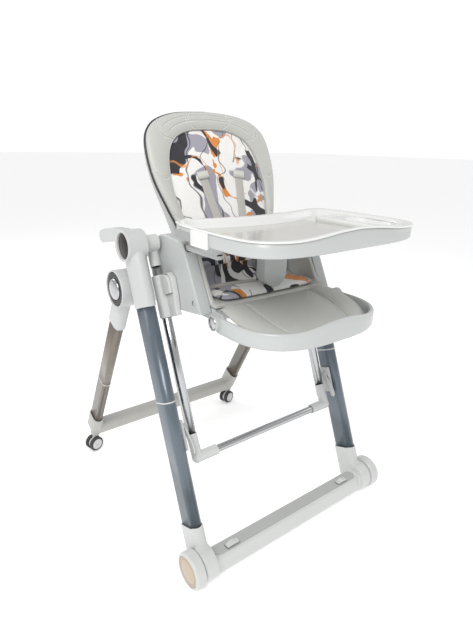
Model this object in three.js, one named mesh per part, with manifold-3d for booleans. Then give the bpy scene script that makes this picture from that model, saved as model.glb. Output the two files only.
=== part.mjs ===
// A folding baby high chair: two oval-tube leg frames joined at side housings, an inner U frame that
// hangs between the front legs, and a seat that slides on it with backrest, footrest and tray.
// Millimetres. X runs across the chair, -Y is the way the child faces, +Z is up. Heights are from the
// floor. Lengths along Y are counted from the front wheel axle; the whole chair is then moved so that
// the origin lies on the floor in the middle of its footprint. Left pieces are drawn at negative x.
import * as THREE from 'three';
import { mergeVertices } from 'three/addons/utils/BufferGeometryUtils.js';
import Module from 'manifold-3d';

const wasm = await Module();
wasm.setup();

// ---------------------------------------------------------------- driving dimensions
const GAP = 0.3; // clearance between pieces that touch
const PLAY = 0.5; // clearance where one piece runs on another
const FOOTPRINT_MIDDLE = 261.17; // along Y, from the wheel axle to the middle of the footprint

const LEG_X = 265; // middle of a leg from the middle of the chair
const FRONT_LEG = { foot: [53, 116], top: [235, 589], wide: 30, deep: 60, wall: 1.8 };
const REAR_LEG = { top: [339, 613], foot: [602, 135], wide: 25, deep: 50, wall: 1.6 };
const UPPER_HUB = { at: [284, 723], radius: 36, outer: 292, inner: 243, pin: 9, dish: 29.5 };
const LOWER_HUB = { at: [332, 613], radius: 45.5, outer: 297, inner: 249, pin: 8, button: 41 };

const BASE = { middle: [-1, 33], deep: 46, high: 50, round: 9 };
const WHEEL = { at: [0, 43], radius: 43, inner: 284, outer: 311, cap: 34.6, stub: 6 };
const REAR_BAR = { at: [627, 77.5], size: 45, round: 16 };
const CASTER = { x: 265, y: 629, radius: 23, gapHalf: 5.5, wheelWide: 12, trail: 7, turn: 14 };

const TUBE = { x: 216, behind: 5, radius: 11.5, wall: 1.6, low: 268, high: 690 };
const CROSSBAR = { at: [102, 246], radius: 9.3, halfLong: 192 };
const ELBOW = { radius: 12.8, corner: 13.5, top: 297 };
const SLIDER = { low: 557, high: 650, radius: 15.5 };

const ARM = { inner: 170, outer: 200 };
const SEAT_HINGE = [238, 606]; // where the backrest pivots between the arms
const FOOT_HINGE = [72, 585]; // where the footrest pivots on the seat pan
const BACK = { at: [318.7, 850], lean: 23, low: -235, top: 183 };
const TRAY = {
  under: 757, floor: 762, rim: 788, raise: 12, halfWide: 237, middle: 35, halfDeep: 171, power: 4.5,
};
const FOOTREST = { halfWide: 186, middle: 40, halfDeep: 153, power: 2.8, low: 562, top: 598, raise: 14 };

// ---------------------------------------------------------------- materials
function look(color, roughness, metalness = 0) {
  return { color, roughness, metalness };
}
const WHITE_PLASTIC = look(0xd9dad8, 0.4);
const HOUSING_PLASTIC = look(0xc9cac8, 0.42);
const GREY_PLASTIC = look(0xb9bebc, 0.38);
const DARK_GREY_PLASTIC = look(0x8f9492, 0.5);
const TAUPE_PLASTIC = look(0xbdb9b0, 0.45);
const BLUE_GREY_PAINT = look(0x66727c, 0.35, 0.5);
const CHAMPAGNE_PAINT = look(0x857a6d, 0.35, 0.5);
const CHROME = look(0xd0d2d4, 0.08, 1);
const DARK_MIRROR = look(0x3a3430, 0.06, 1);
const TAN_CAP = look(0xc9ad8c, 0.4);
const TYRE = look(0x3f4140, 0.7);
const COVER_LEATHER = look(0xbcbeba, 0.5);
const PRINTED_CLOTH = look(0xd8d6d2, 0.85);
const WEBBING = look(0xbfbab0, 0.9);
const IVORY_PLASTIC = look(0xe2e1dd, 0.25);

// ---------------------------------------------------------------- solids
function signedVolume(position, index) {
  const a = new THREE.Vector3();
  const b = new THREE.Vector3();
  const c = new THREE.Vector3();
  let total = 0;
  for (let i = 0; i < index.length; i += 3) {
    a.fromBufferAttribute(position, index[i]);
    b.fromBufferAttribute(position, index[i + 1]);
    c.fromBufferAttribute(position, index[i + 2]);
    total += a.dot(b.cross(c));
  }
  return total;
}

// Turns a three.js geometry into a solid with shared corners and outward faces.
function toSolid(geometry) {
  geometry.deleteAttribute('normal');
  geometry.deleteAttribute('uv');
  const merged = mergeVertices(geometry, 1e-3);
  const corners = merged.index.array;
  const inward = signedVolume(merged.attributes.position, corners) < 0;
  const kept = [];
  for (let i = 0; i < corners.length; i += 3) {
    const [a, b, c] = [corners[i], corners[i + 1], corners[i + 2]];
    if (a !== b && b !== c && a !== c) kept.push(a, inward ? c : b, inward ? b : c);
  }
  return new wasm.Manifold(new wasm.Mesh({
    numProp: 3,
    vertProperties: new Float32Array(merged.attributes.position.array),
    triVerts: new Uint32Array(kept),
  }));
}

function fuse(...solids) {
  return solids.reduce((whole, next) => whole.add(next));
}

function cut(body, ...tools) {
  return tools.reduce((whole, tool) => whole.subtract(tool), body);
}

function toGeometry(solid) {
  const mesh = solid.getMesh();
  const geometry = new THREE.BufferGeometry();
  geometry.setAttribute('position', new THREE.BufferAttribute(new Float32Array(mesh.vertProperties), 3));
  geometry.setIndex(new THREE.BufferAttribute(new Uint32Array(mesh.triVerts), 1));
  return geometry;
}

// The same geometry on the other side of the chair.
function mirrored(geometry) {
  const copy = geometry.clone();
  copy.scale(-1, 1, 1);
  const index = copy.index.array;
  for (let i = 0; i < index.length; i += 3) {
    [index[i + 1], index[i + 2]] = [index[i + 2], index[i + 1]];
  }
  return copy;
}

// ---------------------------------------------------------------- outlines
// A rectangle with round corners; with a full radius it is an oval.
function roundRect(wide, high, radius, u = 0, v = 0) {
  const r = Math.min(radius, wide / 2 - 0.01, high / 2 - 0.01);
  const [a, b] = [wide / 2, high / 2];
  const shape = new THREE.Shape();
  shape.moveTo(u + a, v - b + r);
  shape.lineTo(u + a, v + b - r);
  shape.absarc(u + a - r, v + b - r, r, 0, Math.PI / 2);
  shape.lineTo(u - a + r, v + b);
  shape.absarc(u - a + r, v + b - r, r, Math.PI / 2, Math.PI);
  shape.lineTo(u - a, v - b + r);
  shape.absarc(u - a + r, v - b + r, r, Math.PI, 1.5 * Math.PI);
  shape.lineTo(u + a - r, v - b);
  shape.absarc(u + a - r, v - b + r, r, 1.5 * Math.PI, 2 * Math.PI);
  return shape;
}

function circle(radius, u = 0, v = 0) {
  const shape = new THREE.Shape();
  shape.absarc(u, v, radius, 0, 2 * Math.PI);
  return shape;
}

function polygon(...points) {
  return new THREE.Shape(points.map(([u, v]) => new THREE.Vector2(u, v)));
}

// The points of a half circle round a centre, ahead of the way that the line goes.
function roundEnd(centre, way, radius) {
  const heading = Math.atan2(way.y, way.x);
  return [-60, -30, 0, 30, 60].map((degrees) => {
    const angle = heading + THREE.MathUtils.degToRad(degrees);
    return [centre.x + radius * Math.cos(angle), centre.y + radius * Math.sin(angle)];
  });
}

// A band of even width along a smooth centre line, with round ends.
function stroke(points, halfWidth, steps = 10) {
  const line = new THREE.SplineCurve(points.map(([u, v]) => new THREE.Vector2(u, v)));
  const left = [];
  const right = [];
  for (let i = 0; i <= steps; i += 1) {
    const at = line.getPoint(i / steps);
    const way = line.getTangent(i / steps);
    left.unshift([at.x - way.y * halfWidth, at.y + way.x * halfWidth]);
    right.push([at.x + way.y * halfWidth, at.y - way.x * halfWidth]);
  }
  const far = roundEnd(line.getPoint(1), line.getTangent(1), halfWidth);
  const near = roundEnd(line.getPoint(0), line.getTangent(0).negate(), halfWidth);
  return polygon(...right, ...far, ...left, ...near);
}

// ---------------------------------------------------------------- sweeps and drums
function extruded(shape, depth, curveSegments) {
  return new THREE.ExtrudeGeometry(shape, { depth, bevelEnabled: false, curveSegments, steps: 1 });
}

// An outline in the side view (y, z), as thick as from x0 to x1.
function sideSlab(shape, x0, x1, curveSegments = 2) {
  const slab = extruded(shape, Math.abs(x1 - x0), curveSegments);
  slab.applyMatrix4(new THREE.Matrix4().set(0, 0, 1, Math.min(x0, x1), 1, 0, 0, 0, 0, 1, 0, 0, 0, 0, 0, 1));
  return toSolid(slab);
}

// An outline in the front view (x, z), as thick as from y0 to y1.
function frontSlab(shape, y0, y1, curveSegments = 2) {
  const slab = extruded(shape, y1 - y0, curveSegments);
  slab.applyMatrix4(new THREE.Matrix4().set(1, 0, 0, 0, 0, 0, -1, y1, 0, 1, 0, 0, 0, 0, 0, 1));
  return toSolid(slab);
}

// An outline in the plan view (x, y), as high as from z0 to z1.
function planSlab(shape, z0, z1, curveSegments = 2) {
  const slab = extruded(shape, z1 - z0, curveSegments);
  slab.translate(0, 0, z0);
  return toSolid(slab);
}

function block(x0, x1, y0, y1, z0, z1) {
  const box = new THREE.BoxGeometry(x1 - x0, y1 - y0, z1 - z0);
  box.translate((x0 + x1) / 2, (y0 + y1) / 2, (z0 + z1) / 2);
  return toSolid(box);
}

// A block whose x limits are given for the left side's mirror image, and taken to the side of the sign.
function sidedBlock(sign, inner, outer, ...rest) {
  return block(Math.min(sign * inner, sign * outer), Math.max(sign * inner, sign * outer), ...rest);
}

// A straight bar in the side plane at x, from one (y, z) point to another. The section's first axis is
// X, and its second lies in the side plane, across the bar.
function strut(section, x, from, to, curveSegments = 2) {
  const along = new THREE.Vector3(0, to[0] - from[0], to[1] - from[1]);
  const bar = extruded(section, along.length(), curveSegments);
  along.normalize();
  const across = new THREE.Vector3(1, 0, 0);
  const square = new THREE.Vector3().crossVectors(along, across);
  const matrix = new THREE.Matrix4().makeBasis(across, square, along);
  matrix.setPosition(x, from[0], from[1]);
  bar.applyMatrix4(matrix);
  return toSolid(bar);
}

// A round drum whose axis runs along X through the side-view point.
function drum(radius, x0, x1, [y, z], segments = 24) {
  const round = new THREE.CylinderGeometry(radius, radius, Math.abs(x1 - x0), segments);
  round.rotateZ(Math.PI / 2);
  round.translate((x0 + x1) / 2, y, z);
  return toSolid(round);
}

// A turned piece whose axis runs along X; the profile lists (x, radius) and closes on itself.
function turned(profile, [y, z], segments = 24) {
  const points = profile.map(([x, radius]) => new THREE.Vector2(radius, x));
  points.push(points[0].clone());
  const body = new THREE.LatheGeometry(points, segments);
  body.rotateZ(-Math.PI / 2);
  body.translate(0, y, z);
  return toSolid(body);
}

function frontLegY(z) {
  const [foot, top] = [FRONT_LEG.foot, FRONT_LEG.top];
  return foot[0] + (z - foot[1]) * (top[0] - foot[0]) / (top[1] - foot[1]);
}

function rearLegY(z) {
  const [foot, top] = [REAR_LEG.foot, REAR_LEG.top];
  return foot[0] + (z - foot[1]) * (top[0] - foot[0]) / (top[1] - foot[1]);
}

function onFrontLeg(z) {
  return [frontLegY(z), z];
}

function onRearLeg(z) {
  return [rearLegY(z), z];
}

// The inner tube runs alongside the front leg, a little behind its middle line.
function onTube(z) {
  return [frontLegY(z) + TUBE.behind, z];
}

function oval(wide, deep) {
  return roundRect(wide, deep, wide / 2);
}

// ---------------------------------------------------------------- the chair and its pieces
const chair = new THREE.Group();
chair.position.y = -FOOTPRINT_MIDDLE;

function addMesh(name, geometry, { color, roughness, metalness }) {
  const mesh = new THREE.Mesh(geometry, new THREE.MeshStandardMaterial({ color, roughness, metalness }));
  mesh.name = name;
  chair.add(mesh);
  return mesh;
}

function addPiece(name, solid, finish) {
  return addMesh(name, toGeometry(solid), finish);
}

// A left piece and its mirror image.
function addPair(name, leftSolid, finish) {
  const geometry = toGeometry(leftSolid);
  addMesh(`${name}_left`, geometry, finish);
  addMesh(`${name}_right`, mirrored(geometry), finish);
}

// ---------------------------------------------------------------- front frame
const PEDAL = { x: 190, y: -5, wide: 34, deep: 13, pivotZ: 58 };
const TREAD = { halfLong: 243, middle: 0.5, deep: 31, low: 55.5, high: 59 };

function pedalWell(side) {
  const [x, half] = [side * PEDAL.x, PEDAL.wide / 2 + 2];
  return block(x - half, x + half, PEDAL.y - PEDAL.deep / 2 - 1.5, PEDAL.y + PEDAL.deep / 2 + 1.5, 50, 70);
}

function baseSleeve(side) {
  const boss = drum(WHEEL.radius - 4, side * (WHEEL.inner - 1), side * 249, WHEEL.at);
  const sleeve = strut(roundRect(36, 66, 17), side * LEG_X, onFrontLeg(34), FRONT_LEG.foot);
  const stub = drum(WHEEL.stub, side * 301, side * 262, WHEEL.at, 14);
  return fuse(boss, sleeve, stub);
}

function frontLegSocket(side, from, to) {
  const section = oval(FRONT_LEG.wide + 2 * GAP, FRONT_LEG.deep + 2 * GAP);
  return strut(section, side * LEG_X, onFrontLeg(from), onFrontLeg(to));
}

const crossbarSection = roundRect(BASE.deep, BASE.high, BASE.round, ...BASE.middle);
const treadWell = planSlab(
  roundRect(2 * TREAD.halfLong + 2 * GAP, TREAD.deep + 2 * GAP, TREAD.deep / 2, 0, TREAD.middle),
  TREAD.low - GAP, 70);
addPiece('front_base', cut(
  fuse(sideSlab(crossbarSection, -LEG_X, LEG_X), baseSleeve(-1), baseSleeve(1)),
  treadWell, pedalWell(-1), pedalWell(1), frontLegSocket(-1, 66, 160), frontLegSocket(1, 66, 160),
), WHITE_PLASTIC);

addPiece('tread_strip', cut(
  planSlab(roundRect(2 * TREAD.halfLong, TREAD.deep, TREAD.deep / 2, 0, TREAD.middle), TREAD.low, TREAD.high),
  pedalWell(-1), pedalWell(1),
), DARK_GREY_PLASTIC);

// A brake pedal is a small wave-shaped rocker.
function pedalOutline() {
  const [x, z] = [-PEDAL.x, PEDAL.pivotZ];
  const shape = new THREE.Shape();
  shape.moveTo(x - 17, z - 1);
  shape.lineTo(x + 17, z - 1);
  shape.lineTo(x + 17, z + 5);
  shape.splineThru([
    new THREE.Vector2(x + 9, z + 5), new THREE.Vector2(x + 1, z + 9),
    new THREE.Vector2(x - 8, z + 6), new THREE.Vector2(x - 17, z + 3),
  ]);
  return shape;
}
addPair('brake_pedal',
  frontSlab(pedalOutline(), PEDAL.y - PEDAL.deep / 2, PEDAL.y + PEDAL.deep / 2, 8), WHITE_PLASTIC);

// An oval tube with open ends along a leg's line, from one height to another.
function legTube({ wide, deep, wall }, line, low, high) {
  const outside = strut(oval(wide, deep), -LEG_X, line(low), line(high));
  return cut(outside, strut(oval(wide - 2 * wall, deep - 2 * wall), -LEG_X, line(low - 5), line(high + 5)));
}
addPair('front_leg', legTube(FRONT_LEG, onFrontLeg, 66.5, 640), BLUE_GREY_PAINT);

const coverBack = UPPER_HUB.outer - 8; // the plane behind the cover that is sunk in the upper hub

// The top housing holds the leg, both hubs' pins and the backward horn.
function topHousing() {
  const [x, hub] = [-LEG_X, UPPER_HUB];
  const sleeve = strut(roundRect(34, 66, 16), x, FRONT_LEG.top, onFrontLeg(723));
  const head = drum(hub.radius, -hub.outer, -hub.inner, hub.at, 28);
  const horn = sideSlab(stroke([[284, 741], [350, 738], [390, 731.5], [412, 725]], 15.5), -285, -253);
  const cheek = sideSlab(circle(44, ...LOWER_HUB.at), -248.3, -236, 12);
  const web = sideSlab(polygon([246, 597], [300, 575], [352, 652], [276, 696]), -248.3, -236);
  const root = sideSlab(polygon([238, 600], [262, 590], [294, 686], [274, 696]), -258, -236);
  const lowerPin = drum(LOWER_HUB.pin, -284, -240, LOWER_HUB.at, 14);
  const upperPin = drum(hub.pin, -246, -212, hub.at, 14);
  const coverWell = drum(hub.dish + GAP, -hub.outer - 1, -coverBack + GAP, hub.at, 28);
  const solid = fuse(sleeve, head, horn, cheek, web, root, lowerPin, upperPin);
  return cut(solid, coverWell, frontLegSocket(-1, 560, 640.5));
}
addPair('top_housing', topHousing(), HOUSING_PLASTIC);

addPair('pivot_cover', turned([
  [-coverBack, 0], [-coverBack, UPPER_HUB.dish], [-coverBack - 1.5, UPPER_HUB.dish],
  [-coverBack - 3, 24], [-coverBack - 4.2, 16], [-coverBack - 4.8, 8], [-coverBack - 5, 0],
], UPPER_HUB.at, 28), DARK_MIRROR);

const CAP_WELL = WHEEL.outer - 4;
addPair('front_wheel', turned([
  [-WHEEL.inner, WHEEL.stub + PLAY], [-WHEEL.inner, WHEEL.radius - 2], [-WHEEL.inner - 3, WHEEL.radius],
  [-CAP_WELL, WHEEL.radius], [-WHEEL.outer, WHEEL.radius - 3], [-WHEEL.outer, WHEEL.cap + GAP],
  [-CAP_WELL, WHEEL.cap + GAP], [-CAP_WELL, WHEEL.stub + PLAY],
], WHEEL.at, 30), WHITE_PLASTIC);
addPair('wheel_cap', turned([
  [-CAP_WELL - GAP, 0], [-CAP_WELL - GAP, WHEEL.cap], [-CAP_WELL - 2.6, WHEEL.cap],
  [-CAP_WELL - 3.3, WHEEL.cap - 1.5], [-CAP_WELL - 3.6, 0],
], WHEEL.at, 30), TAN_CAP);

// ---------------------------------------------------------------- rear frame
function rearLegSocket(from, to) {
  const section = oval(REAR_LEG.wide + 2 * GAP, REAR_LEG.deep + 2 * GAP);
  return strut(section, -LEG_X, onRearLeg(from), onRearLeg(to));
}

const BUTTON_WELL = LOWER_HUB.outer - 14;
function rearHousing() {
  const head = drum(LOWER_HUB.radius, -LOWER_HUB.outer, -LOWER_HUB.inner, LOWER_HUB.at, 28);
  const sleeve = strut(roundRect(31.5, 60, 15), -LEG_X, onRearLeg(590), onRearLeg(502));
  const bore = drum(LOWER_HUB.pin + PLAY, -302, -240, LOWER_HUB.at, 14);
  const well = drum(LOWER_HUB.button + PLAY, -302, -BUTTON_WELL, LOWER_HUB.at, 28);
  return cut(fuse(head, sleeve), bore, well, rearLegSocket(541, 440));
}
addPair('rear_housing', rearHousing(), HOUSING_PLASTIC);
addPair('rear_leg', legTube(REAR_LEG, onRearLeg, 95.5, 540.5), CHAMPAGNE_PAINT);

function rearSleeve() {
  const sleeve = strut(roundRect(34, 57, 16), -LEG_X, onRearLeg(135), onRearLeg(78));
  const boss = new THREE.CylinderGeometry(14, 14, 16, 16);
  boss.rotateX(Math.PI / 2);
  boss.translate(-CASTER.x, CASTER.y, 58);
  return fuse(sleeve, toSolid(boss));
}

function casterBore() {
  const bore = new THREE.CylinderGeometry(5 + PLAY, 5 + PLAY, 40, 12);
  bore.rotateX(Math.PI / 2);
  bore.translate(-CASTER.x, CASTER.y, 58);
  return toSolid(bore);
}

function flipped(solid) {
  return toSolid(mirrored(toGeometry(solid)));
}

const leftCorner = rearSleeve();
const leftCuts = [rearLegSocket(95, 190), casterBore()];
const barSection = roundRect(REAR_BAR.size, REAR_BAR.size, REAR_BAR.round, ...REAR_BAR.at);
addPiece('rear_base', cut(
  fuse(sideSlab(barSection, -LEG_X, LEG_X), leftCorner, flipped(leftCorner)),
  ...leftCuts, ...leftCuts.map(flipped),
), TAUPE_PLASTIC);

const buttonBack = LOWER_HUB.outer - 5;
addPair('fold_button', turned([
  [-buttonBack, 0], [-buttonBack, LOWER_HUB.button],
  [-buttonBack - 2, LOWER_HUB.button], [-buttonBack - 2.5, 26.5],
  [-buttonBack - 4.5, 25.5], [-buttonBack - 7.5, 20], [-buttonBack - 9.3, 11], [-buttonBack - 9.8, 0],
], LOWER_HUB.at, 28), CHROME);

// A twin-wheel caster about its own swivel axis, axle along X.
function casterFork() {
  const stem = new THREE.CylinderGeometry(5, 5, 36, 12);
  stem.rotateX(Math.PI / 2);
  stem.translate(0, 0, 58);
  const neck = new THREE.CylinderGeometry(10, 10, 3.2, 14);
  neck.rotateX(Math.PI / 2);
  neck.translate(0, 0, 48);
  const half = CASTER.gapHalf - GAP;
  const web = sideSlab(circle(18, CASTER.trail, CASTER.radius), -half, half, 9);
  const bridge = sideSlab(polygon([-9, 30], [9, 30], [9, 47], [-9, 47]), -half, half);
  const bore = drum(3.5 + PLAY, -20, 20, [CASTER.trail, CASTER.radius], 16);
  return cut(fuse(toSolid(stem), toSolid(neck), web, bridge), bore);
}

function casterWheels() {
  const [near, far] = [CASTER.gapHalf, CASTER.gapHalf + CASTER.wheelWide];
  const r = CASTER.radius;
  const half = [[near, r - 1], [near + 1, r], [far - 2.5, r], [far, r - 2.5], [far, 0]];
  const profile = [...half, ...half.map(([x, radius]) => [-x, radius]).reverse(), [-near, 3.5], [near, 3.5]];
  return turned(profile, [CASTER.trail, r], 20);
}

const forkGeometry = toGeometry(casterFork());
const twinGeometry = toGeometry(casterWheels());
for (const [side, sign] of [['left', -1], ['right', 1]]) {
  const pieces = [
    addMesh(`caster_fork_${side}`, forkGeometry.clone(), WHITE_PLASTIC),
    addMesh(`caster_wheels_${side}`, twinGeometry.clone(), TYRE),
  ];
  for (const piece of pieces) {
    piece.position.set(sign * CASTER.x, CASTER.y, 0);
    piece.rotation.z = THREE.MathUtils.degToRad(90 + CASTER.turn);
  }
}

// ---------------------------------------------------------------- inner frame
function tubeBar(radius, low, high) {
  return strut(circle(radius), -TUBE.x, onTube(low), onTube(high), 8);
}
addPair('inner_tube', cut(
  tubeBar(TUBE.radius, TUBE.low, TUBE.high), tubeBar(TUBE.radius - TUBE.wall, TUBE.low - 5, TUBE.high + 5),
), CHROME);

addPiece('inner_crossbar', cut(
  drum(CROSSBAR.radius, -CROSSBAR.halfLong, CROSSBAR.halfLong, CROSSBAR.at, 16),
  drum(CROSSBAR.radius - 1.5, -CROSSBAR.halfLong - 1, CROSSBAR.halfLong + 1, CROSSBAR.at, 16),
), CHROME);

function innerElbow() {
  const corner = new THREE.SphereGeometry(ELBOW.corner, 14, 8);
  corner.translate(-TUBE.x, ...CROSSBAR.at);
  const upright = strut(circle(ELBOW.radius), -TUBE.x, CROSSBAR.at, onTube(ELBOW.top), 8);
  const arm = drum(ELBOW.radius, -TUBE.x, -CROSSBAR.halfLong + 31, CROSSBAR.at, 16);
  const barHole = drum(CROSSBAR.radius + GAP, -CROSSBAR.halfLong - 0.5, -150, CROSSBAR.at, 16);
  return cut(fuse(toSolid(corner), upright, arm), barHole, tubeBar(TUBE.radius + GAP, TUBE.low - 0.5, 320));
}
addPair('inner_elbow', innerElbow(), WHITE_PLASTIC);

function innerCap() {
  const head = drum(20, -UPPER_HUB.inner + GAP, -206, UPPER_HUB.at, 24);
  const sleeve = strut(circle(ELBOW.radius), -TUBE.x, onTube(670), onTube(710), 8);
  const pinHole = drum(UPPER_HUB.pin + PLAY, -245, -211, UPPER_HUB.at, 14);
  return cut(fuse(head, sleeve), pinHole, tubeBar(TUBE.radius + GAP, 640, TUBE.high + 0.5));
}
addPair('inner_cap', innerCap(), WHITE_PLASTIC);

// The clip is a plate on the leg's inner face with a flip lever beside the inner tube.
addPair('clip_bracket', fuse(
  strut(roundRect(9, 34, 4), -245.2, onFrontLeg(272), onFrontLeg(338)),
  drum(9, -247, -236.5, onFrontLeg(322), 20),
), WHITE_PLASTIC);
const leverLine = [onFrontLeg(322), [114, 306], [97, 290], [90, 276]];
addPair('clip_lever', sideSlab(stroke(leverLine, 7, 8), -236.2, -232.3), WHITE_PLASTIC);

// ---------------------------------------------------------------- seat
// A point beside the inner tube: height along it, and forward of it at right angles.
function besideTube(z, forward) {
  const length = Math.hypot(FRONT_LEG.top[0] - FRONT_LEG.foot[0], FRONT_LEG.top[1] - FRONT_LEG.foot[1]);
  const sine = (FRONT_LEG.top[0] - FRONT_LEG.foot[0]) / length;
  const cosine = (FRONT_LEG.top[1] - FRONT_LEG.foot[1]) / length;
  return [onTube(z)[0] - forward * cosine, z + forward * sine];
}

function heightButtonOutline(grow) {
  return polygon(
    besideTube(606 - grow, 19 - grow), besideTube(606 - grow, 48 + grow), besideTube(630, 50 + grow),
    besideTube(640, 46 + grow), besideTube(646 + grow, 39), besideTube(648 + grow, 31),
    besideTube(646 + grow, 19 - grow),
  );
}

function slider() {
  const sleeve = tubeBar(SLIDER.radius, SLIDER.low, SLIDER.high);
  const bracket = sideSlab(polygon(
    besideTube(SLIDER.low, 0), besideTube(SLIDER.low, 50), besideTube(568, 47), besideTube(598, 53),
    besideTube(636, 55), besideTube(SLIDER.high, 42), besideTube(SLIDER.high, 0),
  ), -214, -ARM.outer - GAP);
  const well = sideSlab(heightButtonOutline(0.6), -216, -207);
  return cut(fuse(sleeve, bracket), tubeBar(TUBE.radius + PLAY, 520, 680), well);
}
addPair('slider', slider(), WHITE_PLASTIC);
addPair('height_button', sideSlab(heightButtonOutline(0), -220.5, -211.5), WHITE_PLASTIC);

// Side view of an arm housing, drawn in by a wall thickness for its hollow.
function armOutline(wall) {
  const shape = new THREE.Shape();
  shape.moveTo(108 + 1.2 * wall, 593 + wall * 0.2);
  shape.lineTo(244 - wall, 575 + wall);
  shape.lineTo(304 - wall, 690);
  shape.absarc(262, 702, 43 - wall, THREE.MathUtils.degToRad(-12), THREE.MathUtils.degToRad(98));
  shape.lineTo(196, 740 - wall);
  shape.quadraticCurveTo(180 + wall, 739 - wall, 176 + wall, 728 - wall);
  return shape;
}

function arm() {
  const body = sideSlab(armOutline(0), -ARM.outer, -ARM.inner, 5);
  const hollow = sideSlab(armOutline(4), -ARM.outer + 3.5, -ARM.inner + 1, 5);
  const slot = block(-193.5, -176.5, 160, 286, 719.5, 735);
  const pin = drum(6, -198, -147.5, SEAT_HINGE, 14);
  return fuse(cut(body, hollow, slot), pin);
}
addPair('arm', arm(), GREY_PLASTIC);

function seatPan() {
  const half = ARM.inner - GAP;
  const body = sideSlab(polygon([100, 574], [226, 574], [226, 603.5], [108, 603.5], [96, 598]), -half, half);
  const hollow = block(-half + 4, half - 4, 104, 222, 570, 599);
  const lug = (sign) => fuse(
    sideSlab(stroke([[120, 588], FOOT_HINGE], 15.5, 2), sign * 166, sign * half),
    sideSlab(stroke([[86, 586], FOOT_HINGE], 15.5, 2), sign * 166, sign * (half + 7)));
  const pin = (sign) => drum(5, sign * 168, sign * 187, FOOT_HINGE, 16);
  return fuse(cut(body, hollow), lug(-1), lug(1), pin(-1), pin(1));
}
addPiece('seat_pan', seatPan(), GREY_PLASTIC);

// The seat cover lines the pan and the insides of both arms; the printed cushion lies on it.
function seatCover() {
  const half = ARM.inner - GAP;
  const base = block(-half, half, 97, 208, 603.8, 613);
  const wing = (sign) => sideSlab(polygon(
    [104, 606], [204, 606], [249, 716], [172, 718], [149, 671], [121, 622],
  ), sign * 158, sign * half);
  return fuse(base, wing(-1), wing(1), block(-146, 146, 99, 204, 612, 627));
}
addPiece('seat_cover', seatCover(), PRINTED_CLOTH);

addPiece('buckle', fuse(
  block(-12, 12, 150, 152.4, 627.3, 668), frontSlab(roundRect(46, 44, 12, 0, 684), 144, 158),
), DARK_GREY_PLASTIC);

// ---------------------------------------------------------------- backrest
// The backrest is drawn flat, x across and s up it, and laid back; n counts forward from its face.
function backSlab(shape, n0, n1, curveSegments = 2) {
  const slab = extruded(shape, n1 - n0, curveSegments);
  const lean = THREE.MathUtils.degToRad(BACK.lean);
  const matrix = new THREE.Matrix4().makeBasis(
    new THREE.Vector3(1, 0, 0),
    new THREE.Vector3(0, Math.sin(lean), Math.cos(lean)),
    new THREE.Vector3(0, -Math.cos(lean), Math.sin(lean)),
  );
  matrix.setPosition(0, ...BACK.at);
  slab.translate(0, 0, n0);
  slab.applyMatrix4(matrix);
  return toSolid(slab);
}

// A left-right symmetric outline through the half widths given as [half width, s] from the bottom up.
function backOutline(rows, grow, top) {
  const right = rows.map(([half, s]) => new THREE.Vector2(half + grow, s));
  const left = rows.map(([half, s]) => new THREE.Vector2(-half - grow, s)).reverse();
  const shape = new THREE.Shape();
  shape.moveTo(right[0].x, right[0].y - grow);
  shape.splineThru([...right.slice(1), new THREE.Vector2(0, top + grow), ...left.slice(0, -1)]);
  shape.lineTo(left[left.length - 1].x, left[left.length - 1].y - grow);
  return shape;
}

const BACK_ROWS = [[143, BACK.low], [148, -120], [164, -60], [181, 0], [187, 50], [184, 103], [171, 135],
  [141, 160], [84, 177]];
const SHELL = { back: -46, front: -22.3, top: 168 };
const SHELL_ROWS = [[143, BACK.low], [144, -120], [154, -60], [166, 0], [172, 50], [169, 100], [152, 135],
  [112, 158]];
const INSERT_ROWS = [[118, -225], [124, -110], [134, -55], [140, 0], [130, 69], [104, 110], [60, 130]];
const coverOutline = backOutline(BACK_ROWS, 0, BACK.top);

function backShell() {
  const body = backSlab(backOutline(SHELL_ROWS, 0, SHELL.top), SHELL.back, SHELL.front);
  const hollow = backSlab(backOutline(SHELL_ROWS, -4, SHELL.top), SHELL.back + 4, SHELL.front + 1);
  const lug = (sign) => cut(
    sideSlab(stroke([SEAT_HINGE, [257, 606], [277, 628]], 12, 4), sign * 148, sign * 139),
    drum(6 + PLAY, sign * 130, sign * 160, SEAT_HINGE, 14));
  const ear = (sign) => backSlab(polygon(
    [sign * 56, 60], [sign * 56, 100], [sign * 50, 100], [sign * 50, 60]), SHELL.back - 14, SHELL.back + 2);
  const pin = (sign) => drum(3, sign * 52, sign * 46, leverHinge, 14);
  return fuse(cut(body, hollow), lug(-1), lug(1), ear(-1), ear(1), pin(-1), pin(1));
}

// A point of the backrest in the side view, s up it and n forward of its face.
function onBack(s, n) {
  const lean = THREE.MathUtils.degToRad(BACK.lean);
  return [
    BACK.at[0] + s * Math.sin(lean) - n * Math.cos(lean),
    BACK.at[1] + s * Math.cos(lean) + n * Math.sin(lean),
  ];
}
const leverHinge = onBack(92, SHELL.back - 8);

addPiece('back_shell', backShell(), GREY_PLASTIC);
addPiece('recline_lever', cut(
  fuse(
    drum(5.5, -49.5, 49.5, leverHinge, 20),
    backSlab(roundRect(99, 38, 8, 0, 74), SHELL.back - 11, SHELL.back - 5),
  ),
  drum(3 + PLAY, -50, -44, leverHinge, 14), drum(3 + PLAY, 44, 50, leverHinge, 14),
), DARK_GREY_PLASTIC);
addPiece('back_cover', cut(
  backSlab(coverOutline, -22, 8), backSlab(backOutline(INSERT_ROWS, 0.8, 135), -8, 10),
), COVER_LEATHER);
addPiece('back_insert', backSlab(backOutline(INSERT_ROWS, 0, 135), -7.7, 2), PRINTED_CLOTH);
addPair('shoulder_strap', backSlab(roundRect(24, 280, 2, -50, -75), 2.3, 4.7), WEBBING);

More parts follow.
